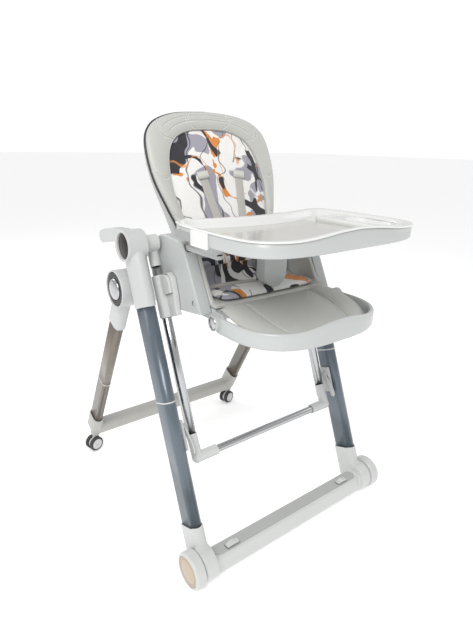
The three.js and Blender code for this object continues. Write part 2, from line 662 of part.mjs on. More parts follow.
// ---------------------------------------------------------------- footrest
// Points round a rounded plan outline; a high power gives squarer corners.
function superPoint(angle, { halfWide, halfDeep, middle, power }, inset) {
  const [c, s] = [Math.cos(angle), Math.sin(angle)];
  const [a, b] = [halfWide - inset, halfDeep - inset];
  return [
    a * Math.sign(c) * Math.abs(c) ** (2 / power),
    middle + b * Math.sign(s) * Math.abs(s) ** (2 / power),
  ];
}

function footrestRing(inset) {
  const steps = 18;
  const ring = [];
  for (let i = 0; i <= steps; i += 1) {
    ring.push(superPoint(-Math.PI * (1 - i / steps), FOOTREST, inset));
  }
  return ring;
}

// The rim rises in a soft wave over the middle of the front.
function frontWave(x, y, halfWide, frontY, height) {
  const across = 0.5 + 0.5 * Math.cos(Math.PI * Math.min(1, Math.abs(x) / (0.72 * halfWide)));
  const forward = THREE.MathUtils.clamp((20 - y) / (20 - frontY), 0, 1);
  return height * across * forward;
}

// Lifts the top corners of a plan slab by the front wave.
function wavedSlab(shape, z0, z1, { halfWide, halfDeep, middle, raise }) {
  const slab = extruded(shape, z1 - z0, 6);
  slab.translate(0, 0, z0);
  const position = slab.attributes.position;
  for (let i = 0; i < position.count; i += 1) {
    if (position.getZ(i) > z1 - 1) {
      const wave = frontWave(position.getX(i), position.getY(i), halfWide, middle - halfDeep, raise);
      position.setZ(i, position.getZ(i) + wave);
    }
  }
  return toSolid(slab);
}

function footrestFrame() {
  const outer = footrestRing(0);
  const inner = footrestRing(10);
  const [wide, wallEnd] = [FOOTREST.halfWide, 70];
  const wallShape = polygon(
    ...outer, [wide, wallEnd], [wide - 10, wallEnd],
    ...inner.reverse(), [10 - wide, wallEnd], [-wide, wallEnd]);
  const wall = wavedSlab(wallShape, FOOTREST.low, FOOTREST.top, FOOTREST);
  const floorShape = polygon(...footrestRing(4), [wide - 4, 42], [4 - wide, 42]);
  const floor = planSlab(floorShape, FOOTREST.low, FOOTREST.low + 3);
  const disc = (sign) => cut(
    drum(17, sign * 177.7, sign * 196, FOOT_HINGE, 20),
    drum(14.2, sign * 188, sign * 200, FOOT_HINGE, 20),
    drum(5 + PLAY, sign * 170, sign * 190, FOOT_HINGE, 16));
  const round = fuse(drum(17.5, -200, -177.7, FOOT_HINGE, 20), drum(17.5, 177.7, 200, FOOT_HINGE, 20));
  const hingeRoom = round.intersect(block(-200, 200, 60, 90, 560, 610));
  const lugRoom = cut(block(-178.5, 178.5, 30, 90, 555, 620), block(-200, 200, 20, 43, 550, 566));
  return fuse(cut(fuse(wall, floor), hingeRoom, lugRoom), disc(-1), disc(1));
}
addPiece('footrest_frame', footrestFrame(), GREY_PLASTIC);
addPair('footrest_button', turned([
  [-191.5, 0], [-191.5, 13.8], [-196.5, 13.8], [-198, 11], [-198.8, 0],
], FOOT_HINGE, 20), CHROME);

function legrestPad() {
  const front = FOOTREST.middle - FOOTREST.halfDeep + 10;
  const plan = polygon(...footrestRing(12), [165, 40], [162, 94], [-162, 94], [-165, 40]);
  const profile = polygon([front, 566], [44, 566], [62, 590], [94, 598], [94, 611], [60, 607], [front, 576]);
  return planSlab(plan, 500, 700).intersect(sideSlab(profile, -175, 175));
}
addPiece('legrest_pad', legrestPad(), COVER_LEATHER);

// ---------------------------------------------------------------- tray
const TRAY_BACK = { corner: 186, belly: 158 };

// The tray's plan outline, drawn in by an inset, as an even ring of points.
function trayRing(inset) {
  const ring = [];
  const steps = 20;
  for (let i = 0; i <= steps; i += 1) {
    const angle = THREE.MathUtils.degToRad(-208 + 236 * i / steps);
    ring.push(superPoint(angle, TRAY, inset));
  }
  const [lastX, lastY] = ring[steps];
  const corner = new THREE.QuadraticBezierCurve(
    new THREE.Vector2(lastX, lastY),
    new THREE.Vector2(lastX - 2, TRAY_BACK.corner - inset),
    new THREE.Vector2(188 - 0.5 * inset, TRAY_BACK.corner - inset),
  );
  const belly = new THREE.CubicBezierCurve(
    new THREE.Vector2(188 - 0.5 * inset, TRAY_BACK.corner - inset),
    new THREE.Vector2(150, TRAY_BACK.corner - inset),
    new THREE.Vector2(110, TRAY_BACK.belly - inset),
    new THREE.Vector2(0, TRAY_BACK.belly - inset),
  );
  const right = [...corner.getPoints(3).slice(1), ...belly.getPoints(5).slice(1)].map((p) => [p.x, p.y]);
  const left = right.slice(0, -1).map(([x, y]) => [-x, y]).reverse();
  return [...ring, ...right, ...left];
}

// A closed body through rings of equal count, capped at both ends round a middle point.
function ringBody(rings, firstMiddle, lastMiddle) {
  const count = rings[0].length;
  const corners = [firstMiddle, ...rings.flat(), lastMiddle];
  const faces = [];
  const at = (ring, i) => 1 + ring * count + (i % count);
  for (let i = 0; i < count; i += 1) {
    faces.push(0, at(0, i), at(0, i + 1));
    for (let ring = 0; ring < rings.length - 1; ring += 1) {
      faces.push(at(ring, i), at(ring + 1, i), at(ring + 1, i + 1));
      faces.push(at(ring, i), at(ring + 1, i + 1), at(ring, i + 1));
    }
    faces.push(at(rings.length - 1, i + 1), at(rings.length - 1, i), corners.length - 1);
  }
  const geometry = new THREE.BufferGeometry();
  geometry.setAttribute('position', new THREE.Float32BufferAttribute(corners.flat(), 3));
  geometry.setIndex(faces);
  return toSolid(geometry);
}

function trayWave(x, y) {
  return frontWave(x, y, TRAY.halfWide, TRAY.middle - TRAY.halfDeep, TRAY.raise);
}

// One ring of the tray: an inset and a height, which follows the wavy rim if it belongs to it.
function trayLevel(inset, z, followsRim) {
  return trayRing(inset).map(([x, y]) => [x, y, z + (followsRim ? trayWave(x, y) : 0)]);
}

const RIM = TRAY.rim;
const TONGUE = { inner: 178, outer: 192 };
function trayBody() {
  const skirtTop = RIM - 4.3;
  const floorTop = TRAY.floor + 3;
  const shell = ringBody([
    trayLevel(5, floorTop, false), trayLevel(5, skirtTop, true), trayLevel(2, skirtTop, true),
    trayLevel(2, TRAY.under, false), trayLevel(5, TRAY.under, false), trayLevel(5, TRAY.floor, false),
  ], [0, 40, floorTop], [0, 40, TRAY.floor]);
  const rail = (sign) => fuse(
    sidedBlock(sign, TONGUE.inner, TONGUE.outer, 60, 166, 722, TRAY.floor + 1),
    sidedBlock(sign, TONGUE.inner, TONGUE.outer, 160, 266, 722, 733));
  const buttonHole = (sign) => sidedBlock(sign, 200, 250, 86, 146, 759, 778);
  return cut(fuse(shell, rail(-1), rail(1)), buttonHole(-1), buttonHole(1));
}

addPiece('tray_body', trayBody(), GREY_PLASTIC);
const buttonBound = ringBody(
  [trayLevel(1.2, 790, false), trayLevel(1.2, 740, false)], [0, 40, 790], [0, 40, 740]);
const buttonBlock = block(-236.5, -226, 86.8, 145.2, 759.8, 777.2);
addPair('tray_button', buttonBlock.intersect(buttonBound), DARK_GREY_PLASTIC);

function trayInsert() {
  const low = TRAY.floor + 5;
  const shell = ringBody([
    trayLevel(34, low + 3, false), trayLevel(26, low + 7, false), trayLevel(17, RIM - 1.5, true),
    trayLevel(3, RIM, true), trayLevel(0, RIM - 2, true), trayLevel(0, RIM - 4, true),
    trayLevel(15.5, RIM - 4, true), trayLevel(25.5, low + 3.5, false), trayLevel(34, low, false),
  ], [0, 40, low + 3], [0, 40, low]);
  const [shelfTop, shelfLow] = [low + 14.3, low + 2];
  const cupArea = ringBody(
    [trayLevel(19, shelfTop, false), trayLevel(31, shelfLow, false)], [0, 40, shelfTop], [0, 40, shelfLow]);
  const shelf = cupArea.intersect(block(131.3, 240, -139, 109, low + 0.4, shelfTop + 1));
  const cup = new THREE.CylinderGeometry(1, 1, 20, 32);
  cup.rotateX(Math.PI / 2);
  cup.scale(37, 62, 1);
  cup.translate(182, -12, shelfTop + 1);
  const lug = (sign) => sidedBlock(sign, 235.6, 240.5, 26, 84, TRAY.under - 4, RIM - 3);
  return fuse(cut(fuse(shell, shelf), toSolid(cup)), lug(-1), lug(1));
}
addPiece('tray_insert', trayInsert(), IVORY_PLASTIC);

function crotchPost() {
  const [half, low, high] = [34, 629, TRAY.floor - GAP];
  const shape = new THREE.Shape();
  shape.moveTo(half, high);
  shape.lineTo(-half, high);
  shape.lineTo(-half, low + half);
  shape.absarc(0, low + half, half, Math.PI, 2 * Math.PI);
  return frontSlab(shape, 95, 127, 14);
}
addPiece('crotch_post', crotchPost(), GREY_PLASTIC);

export default chair;
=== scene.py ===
import math
import bmesh
import bpy
from mathutils import Matrix, Vector
from mathutils.bvhtree import BVHTree


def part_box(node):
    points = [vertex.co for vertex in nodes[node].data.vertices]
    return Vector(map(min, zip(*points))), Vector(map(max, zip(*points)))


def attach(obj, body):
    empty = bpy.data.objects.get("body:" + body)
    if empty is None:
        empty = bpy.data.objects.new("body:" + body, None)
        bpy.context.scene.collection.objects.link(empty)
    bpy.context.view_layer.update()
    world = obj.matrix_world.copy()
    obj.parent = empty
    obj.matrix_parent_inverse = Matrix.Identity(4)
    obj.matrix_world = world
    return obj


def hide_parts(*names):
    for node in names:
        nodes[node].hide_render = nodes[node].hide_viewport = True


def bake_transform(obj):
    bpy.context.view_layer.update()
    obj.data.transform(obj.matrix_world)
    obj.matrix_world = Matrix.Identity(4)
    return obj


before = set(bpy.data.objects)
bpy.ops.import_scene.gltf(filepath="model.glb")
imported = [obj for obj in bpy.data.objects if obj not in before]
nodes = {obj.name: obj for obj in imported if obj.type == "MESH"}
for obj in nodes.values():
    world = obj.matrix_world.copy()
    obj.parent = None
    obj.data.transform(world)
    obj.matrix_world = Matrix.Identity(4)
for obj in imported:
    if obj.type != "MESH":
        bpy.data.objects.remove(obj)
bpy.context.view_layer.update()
SIDES = (("left", -1), ("right", 1))

# ------------------------------------------------------------------ camera
# A standing grown-up's view on the chair's left front corner: short lens, looking a little down.
camera = bpy.data.objects.new("camera", bpy.data.cameras.new("camera"))
bpy.context.collection.objects.link(camera)
camera.data.lens = 27.97
camera.data.sensor_width = 36
yaw, pitch, roll = (math.radians(a) for a in (37.83, 19.36, 1.125))
ahead = Vector((math.sin(yaw) * math.cos(pitch), math.cos(yaw) * math.cos(pitch), -math.sin(pitch)))
level = Vector((math.cos(yaw), -math.sin(yaw), 0))
upright = level.cross(ahead)
across = level * math.cos(roll) + upright * math.sin(roll)
upward = upright * math.cos(roll) - level * math.sin(roll)
camera.matrix_world = Matrix.Translation((-0.7458, -0.98067, 0.9438)) @ Matrix(
    (across, upward, -ahead)).transposed().to_4x4()
bpy.context.scene.camera = camera


# ------------------------------------------------------------------ floor and light
# A plain pale studio floor with a soft sky all round, one large soft lamp high in front and a weaker
# one on each side, so that the glossy plastic shows long soft reflections.
def add(tree, kind, settings=None, inputs=None):
    """One node with its settings, and its inputs as values or as sockets to link from."""
    node = tree.nodes.new(kind)
    for key, value in (settings or {}).items():
        setattr(node, key, value)
    for key, value in (inputs or {}).items():
        if isinstance(value, bpy.types.NodeSocket):
            tree.links.new(value, node.inputs[key])
        else:
            node.inputs[key].default_value = value
    return node


def mesh_piece(name, points, faces, smooth=True):
    """A mesh object in the scene from points in metres and faces of any count."""
    mesh = bpy.data.meshes.new(name)
    mesh.from_pydata([tuple(p) for p in points], [], faces)
    mesh.validate()
    mesh.polygons.foreach_set("use_smooth", [smooth] * len(mesh.polygons))
    piece = bpy.data.objects.new(name, mesh)
    bpy.context.collection.objects.link(piece)
    return piece


half_floor = 40.0
floor = mesh_piece(
    "floor", [(x, y, -0.0005) for x, y in ((-half_floor, -half_floor), (half_floor, -half_floor),
                                           (half_floor, half_floor), (-half_floor, half_floor))],
    [(0, 1, 2, 3)], smooth=False)
floor_finish = bpy.data.materials.new("floor_finish")
floor_finish.use_nodes = True
floor_shader = floor_finish.node_tree.nodes["Principled BSDF"]
floor_shader.inputs["Roughness"].default_value = 0.6
floor_cloud = add(floor_finish.node_tree, "ShaderNodeTexNoise", inputs={"Scale": 3.0})
floor_tone = add(floor_finish.node_tree, "ShaderNodeValToRGB", inputs={"Fac": floor_cloud.outputs["Fac"]})
floor_tone.color_ramp.elements[0].color = (0.93, 0.93, 0.93, 1)
floor_tone.color_ramp.elements[1].color = (0.96, 0.96, 0.96, 1)
floor_finish.node_tree.links.new(floor_tone.outputs["Color"], floor_shader.inputs["Base Color"])
floor_shader.inputs["Emission Color"].default_value = (1.0, 1.0, 1.0, 1)
floor_shader.inputs["Emission Strength"].default_value = 0.28
floor.data.materials.append(floor_finish)

sky = bpy.data.worlds.new("sky")
sky.use_nodes = True
sky.node_tree.nodes["Background"].inputs["Color"].default_value = (1.0, 1.0, 1.0, 1)
lamp_path = add(sky.node_tree, "ShaderNodeLightPath")
sky_strength = add(sky.node_tree, "ShaderNodeMath", {"operation": "MULTIPLY_ADD"}, {
    0: lamp_path.outputs["Is Camera Ray"], 1: 0.34, 2: 0.68})
sky.node_tree.links.new(sky_strength.outputs[0], sky.node_tree.nodes["Background"].inputs["Strength"])
bpy.context.scene.world = sky
bpy.context.scene.view_settings.view_transform = "Standard"
for lamp, (where, size, power) in {
    "key_lamp": ((-1.9, -1.6, 2.8), 1.6, 62),
    "rear_lamp": ((-0.8, 2.8, 2.4), 2.0, 22),
    "right_lamp": ((2.6, -0.6, 1.6), 1.6, 8),
}.items():
    light = bpy.data.lights.new(lamp, "AREA")
    light.size = size
    light.energy = power
    holder = bpy.data.objects.new(lamp, light)
    bpy.context.collection.objects.link(holder)
    holder.matrix_world = Matrix.Translation(where) @ (
        Vector((0, 0, 0.5)) - Vector(where)).to_track_quat("-Z", "Y").to_matrix().to_4x4()


# ------------------------------------------------------------------ base bar, tread and brake pedals
# The front base is one grey-white moulding: a flat bar with a sleeve at each end that takes the leg.
# Its edges are well rounded and the bar runs into the sleeves in wide fillets. A tread strip lies on top,
# coloured darker grey as painted shade of the bar's recessed top face; a wave-shaped brake pedal is hung in
# each end of it.
def shader_group(name, ins, outs):
    """A new shader node group with named sockets, and its input and output nodes."""
    tree = bpy.data.node_groups.new(name, "ShaderNodeTree")
    for label, kind, value in ins:
        socket = tree.interface.new_socket(label, in_out="INPUT", socket_type="NodeSocket" + kind)
        socket.default_value = value
    for label, kind in outs:
        tree.interface.new_socket(label, in_out="OUTPUT", socket_type="NodeSocket" + kind)
    return tree, add(tree, "NodeGroupInput"), add(tree, "NodeGroupOutput")


def moulded_surface_group():
    """Colour that drifts a little, a roughness that varies with handling, and a fine surface grain."""
    tree, given, made = shader_group(
        "moulded_surface",
        [("Colour", "Color", (0.8, 0.8, 0.8, 1)), ("Shade", "Float", 0.06), ("Roughness", "Float", 0.4),
         ("Handling", "Float", 0.12), ("Grain", "Float", 1500.0), ("Cloud", "Float", 7.0)],
        [("Colour", "Color"), ("Roughness", "Float"), ("Height", "Float")])
    place = add(tree, "ShaderNodeTexCoord").outputs["Object"]
    cloud = add(tree, "ShaderNodeTexNoise", inputs={
        "Vector": place, "Scale": given.outputs["Cloud"], "Detail": 3.0, "Roughness": 0.6})
    dark = add(tree, "ShaderNodeMath", {"operation": "MULTIPLY"}, {
        0: cloud.outputs["Fac"], 1: given.outputs["Shade"]})
    keep = add(tree, "ShaderNodeMath", {"operation": "SUBTRACT"}, {0: 1.0, 1: dark.outputs[0]})
    toned = add(tree, "ShaderNodeVectorMath", {"operation": "SCALE"}, {
        0: given.outputs["Colour"], "Scale": keep.outputs[0]})
    tree.links.new(toned.outputs["Vector"], made.inputs["Colour"])
    rubbed = add(tree, "ShaderNodeTexNoise", inputs={"Vector": place, "Scale": 34.0, "Detail": 4.0})
    change = add(tree, "ShaderNodeMath", {"operation": "MULTIPLY_ADD"}, {
        0: rubbed.outputs["Fac"], 1: given.outputs["Handling"], 2: given.outputs["Roughness"]})
    tree.links.new(change.outputs[0], made.inputs["Roughness"])
    grain = add(tree, "ShaderNodeTexNoise", inputs={
        "Vector": place, "Scale": given.outputs["Grain"], "Detail": 1.0})
    tree.links.new(grain.outputs["Fac"], made.inputs["Height"])
    return tree


moulded_surface = moulded_surface_group()


def surfaced(name, group, values, bump, depth=0.0002, constants=None):
    """A material whose colour, roughness and bump come from a shader node group."""
    material = bpy.data.materials.new(name)
    material.use_nodes = True
    tree = material.node_tree
    shader = tree.nodes["Principled BSDF"]
    effect = add(tree, "ShaderNodeGroup", {"node_tree": group}, values)
    tree.links.new(effect.outputs["Colour"], shader.inputs["Base Color"])
    tree.links.new(effect.outputs["Roughness"], shader.inputs["Roughness"])
    relief = add(tree, "ShaderNodeBump", inputs={
        "Strength": bump, "Distance": depth, "Height": effect.outputs["Height"]})
    tree.links.new(relief.outputs["Normal"], shader.inputs["Normal"])
    for key, value in (constants or {}).items():
        shader.inputs[key].default_value = value
    return material


def moulding(name, colour, roughness, bump=0.12, grain=1500.0, shade=0.05, **constants):
    """Injection-moulded plastic."""
    return surfaced(name, moulded_surface, {
        "Colour": (*colour, 1), "Roughness": roughness, "Grain": grain, "Shade": shade}, bump,
        constants={key.replace("_", " "): value for key, value in constants.items()})


white_plastic = moulding("white_plastic", (0.58, 0.59, 0.58), 0.30, Coat_Weight=0.15)
housing_plastic = moulding("housing_plastic", (0.54, 0.55, 0.545), 0.30, Coat_Weight=0.15)
# Painted shade: the tread strip is coloured darker grey than the bar to stand in for shade on the bar's top
# face.
tread_shade_plastic = moulding("tread_shade_plastic", (0.42, 0.43, 0.42), 0.45, bump=0.5, grain=900.0)


def placed(x, y, z):
    """A point in metres from millimetres, with Y counted from the front wheel axle."""
    return Vector((x, y - 261.17, z)) / 1000


def merged_copy(name, *cad):
    """A new object with the shared-corner mesh of one or more CAD nodes."""
    work = bmesh.new()
    for node in cad:
        work.from_mesh(nodes[node].data)
    bmesh.ops.remove_doubles(work, verts=work.verts, dist=2e-6)
    mesh = bpy.data.meshes.new(name)
    work.to_mesh(mesh)
    work.free()
    piece = bpy.data.objects.new(name, mesh)
    bpy.context.collection.objects.link(piece)
    return piece


def applied(piece):
    """The piece with its modifiers turned into plain mesh."""
    graph = bpy.context.evaluated_depsgraph_get()
    mesh = bpy.data.meshes.new_from_object(piece.evaluated_get(graph))
    mesh.name = piece.name
    piece.modifiers.clear()
    piece.data = mesh
    mesh.polygons.foreach_set("use_smooth", [True] * len(mesh.polygons))
    return piece


def softened(piece, grain=0.002, passes=6):
    """Rounds every edge and fillets every inner corner by an even remesh and a smoothing."""
    remesh = piece.modifiers.new("remesh", "REMESH")
    remesh.mode = "VOXEL"
    remesh.voxel_size = grain
    smooth = piece.modifiers.new("smooth", "SMOOTH")
    smooth.factor = 0.5
    smooth.iterations = passes
    return applied(piece)


def finished(piece, material, body, *replaced, slot=None):
    """Gives a piece its material, the body it rides on and the CAD nodes it stands for; its slot is not used.
    """
    piece.data.materials.clear()
    piece.data.materials.append(material)
    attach(piece, body)
    if replaced:
        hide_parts(*replaced)
    return piece


def moulded_copy(node, material, body, grain, passes=6):
    """A CAD node's moulding with rounded edges, in its place."""
    piece = softened(merged_copy(node + "_moulding", node), grain, passes)
    return finished(piece, material, body, node)


moulded_copy("front_base", white_plastic, "front_frame", 0.0026, 9)
moulded_copy("tread_strip", tread_shade_plastic, "front_frame", 0.0015, 2)
for side, sign in SIDES:
    moulded_copy(f"brake_pedal_{side}", white_plastic, f"brake_pedal_{side}", 0.0011, 5)


# ------------------------------------------------------------------ front wheels
# A grey-white nylon wheel turns on a stub at each end of the base. A tan cap with a ring groove is
# pressed into its outer face.
def softened_line(line, radius, steps=4):
    """A closed outline of (a, b) points with its corners rounded by short arcs."""
    out = []
    count = len(line)
    for i in range(count):
        before, here, after = (Vector(line[(i + k) % count]) for k in (-1, 0, 1))
        back, forth = before - here, after - here
        reach = min(radius, 0.45 * back.length, 0.45 * forth.length)
        if back.length < 1e-6 or forth.length < 1e-6 or reach < 1e-4:
            out.append(tuple(here))
            continue
        start, end = here + back.normalized() * reach, here + forth.normalized() * reach
        for k in range(steps + 1):
            t = k / steps
            out.append(tuple(start * (1 - t) ** 2 + here * 2 * t * (1 - t) + end * t * t))
    return out


def looped(name, rings, closed_tube=False):
    """A skin over equal rings of points. Ends are closed by fans, or the last ring joins the first."""
    count = len(rings[0])
    points = [p for ring in rings for p in ring]
    faces = []
    pairs = len(rings) if closed_tube else len(rings) - 1
    for r in range(pairs):
        a, b = r * count, ((r + 1) % len(rings)) * count
        for i in range(count):
            j = (i + 1) % count
            faces.append((a + i, b + i, b + j, a + j))
    if not closed_tube:
        for r in (0, len(rings) - 1):
            middle = sum((Vector(p) for p in rings[r]), Vector()) / count
            points.append(middle)
            for i in range(count):
                faces.append((r * count + i, r * count + (i + 1) % count, len(points) - 1))
    piece = mesh_piece(name, points, faces)
    work = bmesh.new()
    work.from_mesh(piece.data)
    bmesh.ops.remove_doubles(work, verts=work.verts, dist=1e-6)
    bmesh.ops.recalc_face_normals(work, faces=work.faces)
    if work.calc_volume(signed=True) < 0:
        bmesh.ops.reverse_faces(work, faces=work.faces)
    work.to_mesh(piece.data)
    work.free()
    return piece


def lathed(name, profile, centre, sign=1, segments=72, radius=0.8):
    """A turned ring or drum round an axis along X through (y, z); the profile lists (x, radius)."""
    line = softened_line(profile, radius)
    rings = []
    for k in range(segments):
        turn = 2 * math.pi * k / segments
        rings.append([placed(sign * x, centre[0] + r * math.cos(turn), centre[1] + r * math.sin(turn))
                      for x, r in line])
    return looped(name, rings, closed_tube=True)


tan_plastic = moulding("tan_plastic", (0.47, 0.37, 0.26), 0.25, bump=0.05, Coat_Weight=0.3)
WHEEL_AT, WHEEL_R, CAP_R = (0, 43), 43, 34.6
for side, sign in SIDES:
    wheel = lathed(f"wheel_{side}", [
        (284.3, 8), (284.3, 38), (286, WHEEL_R - 1.5), (288, WHEEL_R), (307, WHEEL_R), (309.5, WHEEL_R - 1.6),
        (311, WHEEL_R - 4), (311, 35.6), (307.5, 35.2), (307.5, 8)], WHEEL_AT, sign, 96)
    finished(wheel, white_plastic, f"front_wheel_{side}", f"front_wheel_{side}", slot="white_plastic")
    cap = lathed(f"cap_{side}", [
        (307.6, 0), (307.6, CAP_R), (309.6, CAP_R), (310.2, 31), (308.8, 30.2), (308.8, 28.6), (310.2, 27.8),
        (310.6, 12), (310.6, 0)], WHEEL_AT, sign, 96, 0.5)
    finished(cap, tan_plastic, f"front_wheel_{side}", f"wheel_cap_{side}", slot="tan_cap")


# ------------------------------------------------------------------ front legs
# Two oval steel tubes in satin blue-grey paint run from the base sleeves up into the side housings.
# A thin white collar sits on each one where an inner plug is riveted.
def flaked_paint_group():
    """Sprayed paint: a faint flake, a slow drift of tone and rub marks along the tube."""
    tree, given, made = shader_group(
        "flaked_paint",
        [("Colour", "Color", (0.2, 0.2, 0.2, 1)), ("Flake", "Float", 0.12), ("Roughness", "Float", 0.35)],
        [("Colour", "Color"), ("Roughness", "Float"), ("Height", "Float")])
    place = add(tree, "ShaderNodeTexCoord").outputs["Object"]
    flake = add(tree, "ShaderNodeTexVoronoi", inputs={"Vector": place, "Scale": 1600.0})
    drift = add(tree, "ShaderNodeTexNoise", inputs={"Vector": place, "Scale": 9.0, "Detail": 3.0})
    both = add(tree, "ShaderNodeMath", {"operation": "ADD"}, {
        0: flake.outputs["Distance"], 1: drift.outputs["Fac"]})
    amount = add(tree, "ShaderNodeMath", {"operation": "MULTIPLY_ADD"}, {
        0: both.outputs[0], 1: given.outputs["Flake"], 2: 0.92})
    toned = add(tree, "ShaderNodeVectorMath", {"operation": "SCALE"}, {
        0: given.outputs["Colour"], "Scale": amount.outputs[0]})
    tree.links.new(toned.outputs["Vector"], made.inputs["Colour"])
    rubbed = add(tree, "ShaderNodeTexNoise", inputs={"Vector": place, "Scale": 60.0, "Detail": 5.0})
    rough = add(tree, "ShaderNodeMath", {"operation": "MULTIPLY_ADD"}, {
        0: rubbed.outputs["Fac"], 1: 0.12, 2: given.outputs["Roughness"]})
    tree.links.new(rough.outputs[0], made.inputs["Roughness"])
    tree.links.new(flake.outputs["Distance"], made.inputs["Height"])
    return tree


flaked_paint = flaked_paint_group()


def painted(name, colour, roughness, metallic):
    return surfaced(name, flaked_paint, {
        "Colour": (*colour, 1), "Flake": 0.12, "Roughness": roughness}, 0.06,
        constants={"Metallic": metallic, "Coat Weight": 0.3, "Coat Roughness": 0.15})


blue_grey_paint = painted("blue_grey_paint", (0.112, 0.140, 0.168), 0.24, 0.35)
champagne_paint = painted("champagne_paint", (0.185, 0.160, 0.135), 0.24, 0.45)


def oval(wide, deep, steps=48):
    """Points round a flat-sided oval, wide along the first axis and deep along the second."""
    a, b = min(wide, deep) / 2, abs(deep - wide) / 2
    out = []
    for k in range(steps):
        turn = 2 * math.pi * (k + 0.5) / steps
        u, v = a * math.cos(turn), a * math.sin(turn)
        if deep > wide:
            v += b if v > 0 else -b
        else:
            u += b if u > 0 else -b
        out.append((u, v))
    return out


def strut(name, x, foot, top, section, hollow, ease=0.0):
    """A straight tube in the side plane at x from foot to top, each a (y, z) point."""
    foot, top = Vector(foot), Vector(top)
    along = (top - foot).normalized()
    back = Vector((along.y, -along.x))
    rings = []
    stations = [(0, ease), (ease, 0), ((top - foot).length - ease, 0), ((top - foot).length, ease)]
    for reach, tuck in stations if ease else ((0, 0), ((top - foot).length, 0)):
        ring = []
        for u, v in section:
            size = max(math.hypot(u, v), 1e-6)
            u, v = u * (1 - tuck / size), v * (1 - tuck / size)
            at = foot + along * reach + back * v
            ring.append(placed(x + u, at.x, at.y))
        rings.append(ring)
    if hollow:
        for reach in ((top - foot).length, 0):
            ring = []
            for u, v in section:
                size = math.hypot(u, v)
                at = foot + along * reach + back * v * (1 - hollow / size)
                ring.append(placed(x + u * (1 - hollow / size), at.x, at.y))
            rings.append(ring)
    return looped(name, rings, closed_tube=bool(hollow))


def joined(name, *pieces):
    """Several meshes as one object."""
    work = bmesh.new()
    for piece in pieces:
        work.from_mesh(piece.data)
        bpy.data.objects.remove(piece)
    mesh = bpy.data.meshes.new(name)
    work.to_mesh(mesh)
    work.free()
    mesh.polygons.foreach_set("use_smooth", [True] * len(mesh.polygons))
    whole = bpy.data.objects.new(name, mesh)
    bpy.context.collection.objects.link(whole)
    return whole


def along_line(foot, top, z):
    """The (y, z) point of a leg's middle line at a height."""
    return (foot[0] + (z - foot[1]) * (top[0] - foot[0]) / (top[1] - foot[1]), z)


LEG_X = 265
FRONT_FOOT, FRONT_TOP = (53, 116), (235, 589)
REAR_FOOT, REAR_TOP = (602, 135), (339, 613)
for side, sign in SIDES:
    leg = strut(f"front_tube_{side}", sign * LEG_X, FRONT_FOOT, FRONT_TOP, oval(30, 60), 1.8)
    finished(leg, blue_grey_paint, "front_frame", f"front_leg_{side}", slot="blue_grey_paint")
    collar = strut(
        f"front_collar_{side}", sign * LEG_X, along_line(FRONT_FOOT, FRONT_TOP, 383),
        along_line(FRONT_FOOT, FRONT_TOP, 386), oval(31, 61), 1.2)
    finished(collar, white_plastic, "front_frame", slot="white_plastic")


# ------------------------------------------------------------------ side housings
# Each side has a glass-filled nylon housing: a sleeve on the front leg, a disc for the folding pivot
# and a horn that carries the upper pivot and points back. A dark mirrored cover closes the upper one.
def mirror_plate(name, colour, roughness):
    return moulding(name, colour, roughness, bump=0.01, shade=0.02, Metallic=1.0)


dark_mirror = mirror_plate("dark_mirror", (0.026, 0.021, 0.017), 0.05)
chrome = mirror_plate("chrome", (0.50, 0.51, 0.52), 0.10)
UPPER_AT, LOWER_AT = (284, 723), (332, 613)
for side, sign in SIDES:
    moulded_copy(f"top_housing_{side}", housing_plastic, "front_frame", 0.0014, 8)
    cover = lathed(f"upper_cover_{side}", [
        (284.3, 0), (284.3, 29.2), (286.4, 29.2), (287.6, 26), (288.5, 18), (289, 8), (289.1, 0)],
        UPPER_AT, sign, 96, 0.6)
    finished(cover, dark_mirror, "front_frame", f"pivot_cover_{side}", slot="dark_mirror")
    rim = lathed(f"upper_rim_{side}", [
        (288.6, 29.8), (288.6, 32), (291.6, 34.6), (292.4, 35), (292.4, 33.4), (290.6, 31), (289.6, 29.8)],
        UPPER_AT, sign, 96, 0.4)
    finished(rim, housing_plastic, "front_frame", slot="housing_plastic")


# ------------------------------------------------------------------ rear frame
# The rear frame folds about the lower pivot: a nylon housing with a chromed push button in a dark
# mirrored ring on each side, an oval leg in champagne paint, and one taupe cross bar that curves up
# into a sleeve for each leg.
taupe_plastic = moulding("taupe_plastic", (0.45, 0.445, 0.42), 0.34, Coat_Weight=0.1)
for side, sign in SIDES:
    moulded_copy(f"rear_housing_{side}", housing_plastic, "rear_frame", 0.002, 6)
    ring = lathed(f"button_ring_{side}", [
        (292.2, 26.4), (292.2, 40.6), (294.0, 40.6), (294.4, 39), (294.4, 28.4), (293.6, 26.4)],
        LOWER_AT, sign, 96, 0.5)
    finished(ring, dark_mirror, f"fold_button_{side}", slot="dark_mirror")
    dome = lathed(f"button_dome_{side}", [
        (292.2, 0), (292.2, 26.0), (295.5, 25.8), (297.6, 24.2), (299.6, 19), (301, 10), (301.4, 0)],
        LOWER_AT, sign, 96, 0.8)
    finished(dome, chrome, f"fold_button_{side}", f"fold_button_{side}", slot="chrome")
    leg = strut(f"rear_tube_{side}", sign * LEG_X, REAR_FOOT, REAR_TOP, oval(25, 50), 1.6)
    finished(leg, champagne_paint, "rear_frame", f"rear_leg_{side}", slot="champagne_paint")
    collar = strut(
        f"rear_collar_{side}", sign * LEG_X, along_line(REAR_FOOT, REAR_TOP, 292),
        along_line(REAR_FOOT, REAR_TOP, 295), oval(26, 51), 1.2)
    finished(collar, white_plastic, "rear_frame", slot="white_plastic")
moulded_copy("rear_base", taupe_plastic, "rear_frame", 0.0026, 9)

